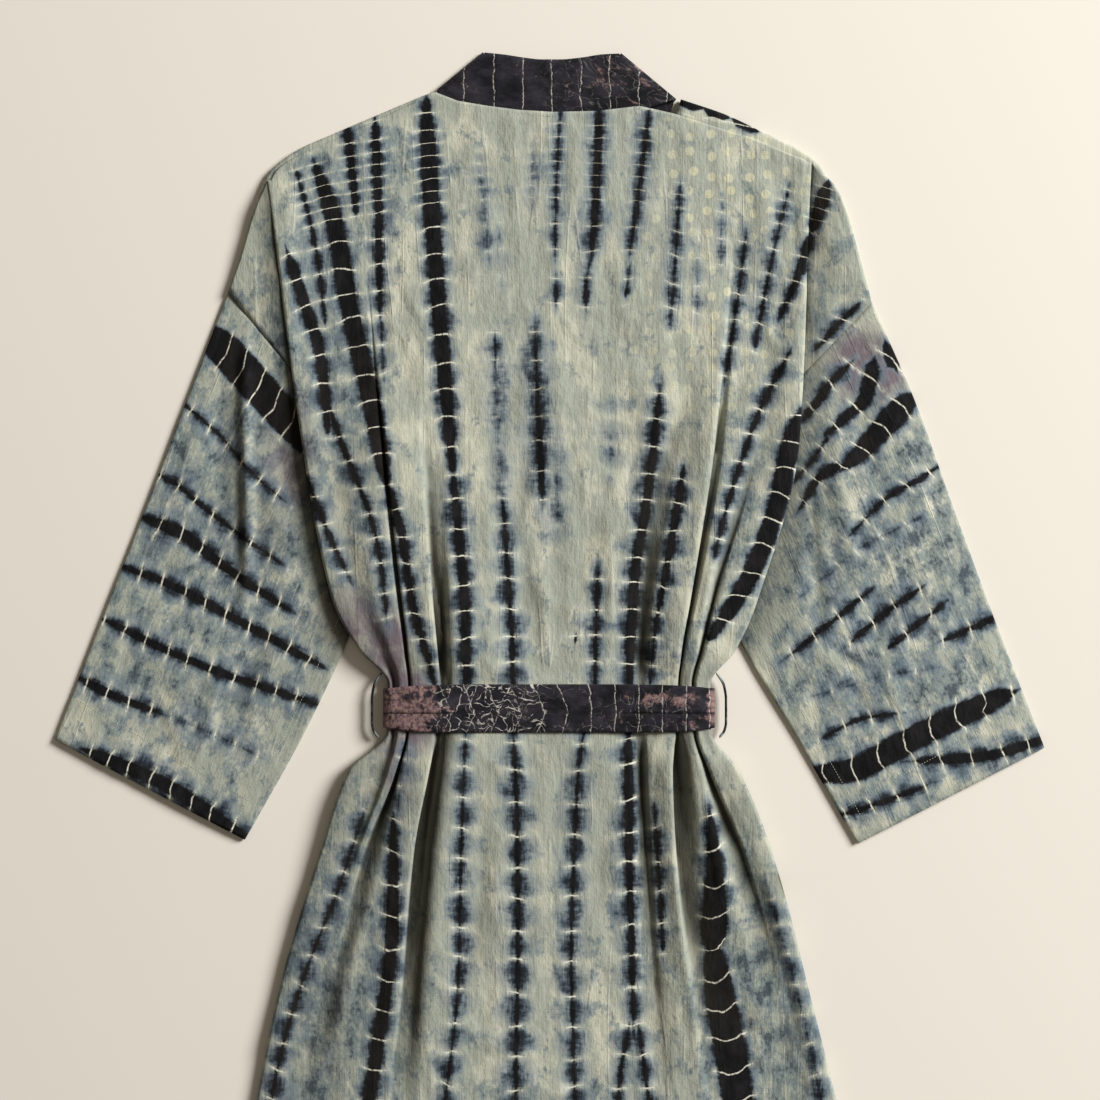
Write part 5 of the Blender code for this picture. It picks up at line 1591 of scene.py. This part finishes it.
def sewing(grids):
    """Rows of stitches by name: beside the sleeves' seams and on their hems, on the back's hem, and a few
    tacks below the neck."""
    pale = sewing_thread("ecru_cotton_thread", "#c9c6b0")
    black = sewing_thread("black_cotton_thread", "#26262a")
    on_top = np.array([0, 0, WALL / 2])
    rows = {}
    for side, name in SIDES.items():
        grid = grids["sleeve_" + name]
        hem = np.searchsorted(sleeve_shares(side), 1 - CUFF_HEM / SLEEVE_LENGTH[side])
        top = grid[hem, SLEEVE_TURN:SLEEVE_TURN + SLEEVE_ACROSS]
        seam = beside_edge(grid, SEAM_INSET)[SEAM_SKIP:]
        rows["sleeve_" + name] = ([top + on_top, seam + on_top], SEAM_STITCH, pale)
    back = grids["back"]
    hem_row = np.abs(back[:, back.shape[1] // 2, 1] - (HEM + HEM_INSET)).argmin()
    rows["back"] = ([back[hem_row, HEM_SKIP:-HEM_SKIP] + on_top], SEAM_STITCH, pale)
    x = TACK_START + TACK_GAP * np.arange(TACKS)
    low = np.column_stack([x, back_top_y(x) - TACK_DROP, np.full(TACKS, SHOULDER_LAP + 0.2)])
    rows["neck_tack"] = (np.stack([low, low + TACK_WAY], axis=1), TACK_STITCH, black)
    return {name: put("stitching_" + name, *stitch_row(paths, *stitch), thread)
            for name, (paths, stitch, thread) in rows.items()}


def lay_band(piece, grid):
    """The neck band's attributes: its warp runs along it, and so do the rows of tie lines."""
    rows, columns = grid.shape[:2]
    plan = grid[..., :2].reshape(-1, 2)
    run = distances(grid.mean(axis=1))
    place = np.repeat(run - run[-1] / 2, columns)
    across = np.tile(np.linspace(0, BAND_WIDTH, columns), rows)
    number = np.where(plan[:, 1] > BAND_TOP, plan[:, 0], place) / BAND_PITCH + BAND_START
    crackle = smoothstep(*CRACKLE_RIGHT, plan[:, 0]) * smoothstep(*CRACKLE_ABOVE, plan[:, 1]) * BAND_CRACKLE
    give(piece, "cloth", np.column_stack([across, place, 0 * place]) * MM)
    give(piece, "rows", np.column_stack([number, np.full(len(plan), BAND_PITCH), np.ones(len(plan))]))
    give(piece, "areas", np.column_stack([0 * crackle, crackle, area(plan, "plum")]))
    give(piece, "deep", np.zeros((len(plan), 3)))


def lay_sash(piece, grid):
    """The sash's attributes: tie lines towards the right, bent where it is folded along, a net of
    crackle with slanting strokes left of the middle, and painted shade in the fold pressed along it."""
    x, y = grid[..., 0].reshape(-1), grid[..., 1].reshape(-1)
    plan = np.stack([x, y], axis=-1)
    give(piece, "cloth", np.column_stack([y, x + grid[..., 2].reshape(-1), 0 * x]) * MM)
    tied = smoothstep(*TIED_FROM, x) * (TIED_FAINT + (1 - TIED_FAINT) * smoothstep(*TIED_CLEAR, x))
    bent = x + SASH_BEND * np.abs(y - PRESSED_LINE) * (1 - smoothstep(*BEND_END, x))
    number = bent / SASH_PITCH + SASH_START
    give(piece, "rows", np.column_stack([number, np.full(len(x), SASH_PITCH), tied]))
    net, strokes = (smoothstep(*come, x) * (1 - smoothstep(*go, x)) for come, go in (SASH_NET, SASH_STROKES))
    net = net + SPECKS * area(plan, "specks")
    give(piece, "areas", np.column_stack([strokes, net, area(plan, "plum")]))
    # painted shade in the fold pressed along the sash
    give(piece, "deep", np.repeat(pressed_in(x, y)[:, None], 3, axis=1))


def main():
    """Makes the pieces, in the places of the solids of the same names, and their stitching."""
    root = "root"
    grids = {"back": back_grid(), "neck_band": band_grid(), "sash": sash_grid()}
    for side, name in SIDES.items():
        grids["front_" + name] = front_grid(side)
        grids["sleeve_" + name] = sleeve_grid(side)
        grids["belt_loop_" + name] = loop_grid(side)
    pieces = body_cloth(grids, tie_dyed_cotton())
    dark = overdyed_cotton()
    for name, lay in (("neck_band", lay_band), ("sash", lay_sash)):
        pieces[name] = sheet("cloth_" + name, grids[name], BAND_WALL, dark, ring=name == "sash")
        lay(pieces[name], grids[name])
    sewn = sewing(grids)
    for name, piece in pieces.items():
        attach(piece, root)
        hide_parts(name)
    for name, piece in sewn.items():
        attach(piece, root)


FLOOR_REACH = 6000
VIEW_WIDTH = 1.1  # metres across the photograph, and Y of its middle
PHOTO_MIDDLE = 0.117


def lay_out():
    """A plain pale floor, a camera straight above, a soft key from the upper right and a pale sky."""
    scene = bpy.context.scene
    scene.view_settings.view_transform = "Standard"
    paper, _ = new_material("pale_paper", 0.9, 0.1)
    paper.node_tree.nodes["Principled BSDF"].inputs["Base Color"].default_value = linear("#e4dccf")
    corners = FLOOR_REACH * np.array(((-1, -1, 0), (1, -1, 0), (1, 1, 0), (-1, 1, 0)))
    put("floor", corners, [(0, 1, 2, 3)], paper)

    lens = bpy.data.cameras.new("camera")
    lens.lens = 85
    lens.clip_end = 50
    camera = bpy.data.objects.new("camera", lens)
    camera.location = (0, PHOTO_MIDDLE, VIEW_WIDTH * lens.lens / lens.sensor_width + 8 * MM)
    scene.collection.objects.link(camera)
    scene.camera = camera

    sky = bpy.data.worlds.new("sky")
    sky.use_nodes = True
    background = sky.node_tree.nodes["Background"]
    background.inputs["Color"].default_value = linear("#f3ead9")
    background.inputs["Strength"].default_value = 0.21
    scene.world = sky
    lamp = bpy.data.lights.new("key", "AREA")
    lamp.shape = "DISK"
    lamp.size = 3.6
    lamp.energy = 1110
    lamp.color = linear("#fbfdff")[:3]
    key = bpy.data.objects.new("key", lamp)
    key.location = (6.0, 3.3, 4.25)
    aim = Vector((0, PHOTO_MIDDLE, 0)) - key.location
    key.rotation_euler = aim.to_track_quat("-Z", "Y").to_euler()
    scene.collection.objects.link(key)


lay_out()
main()
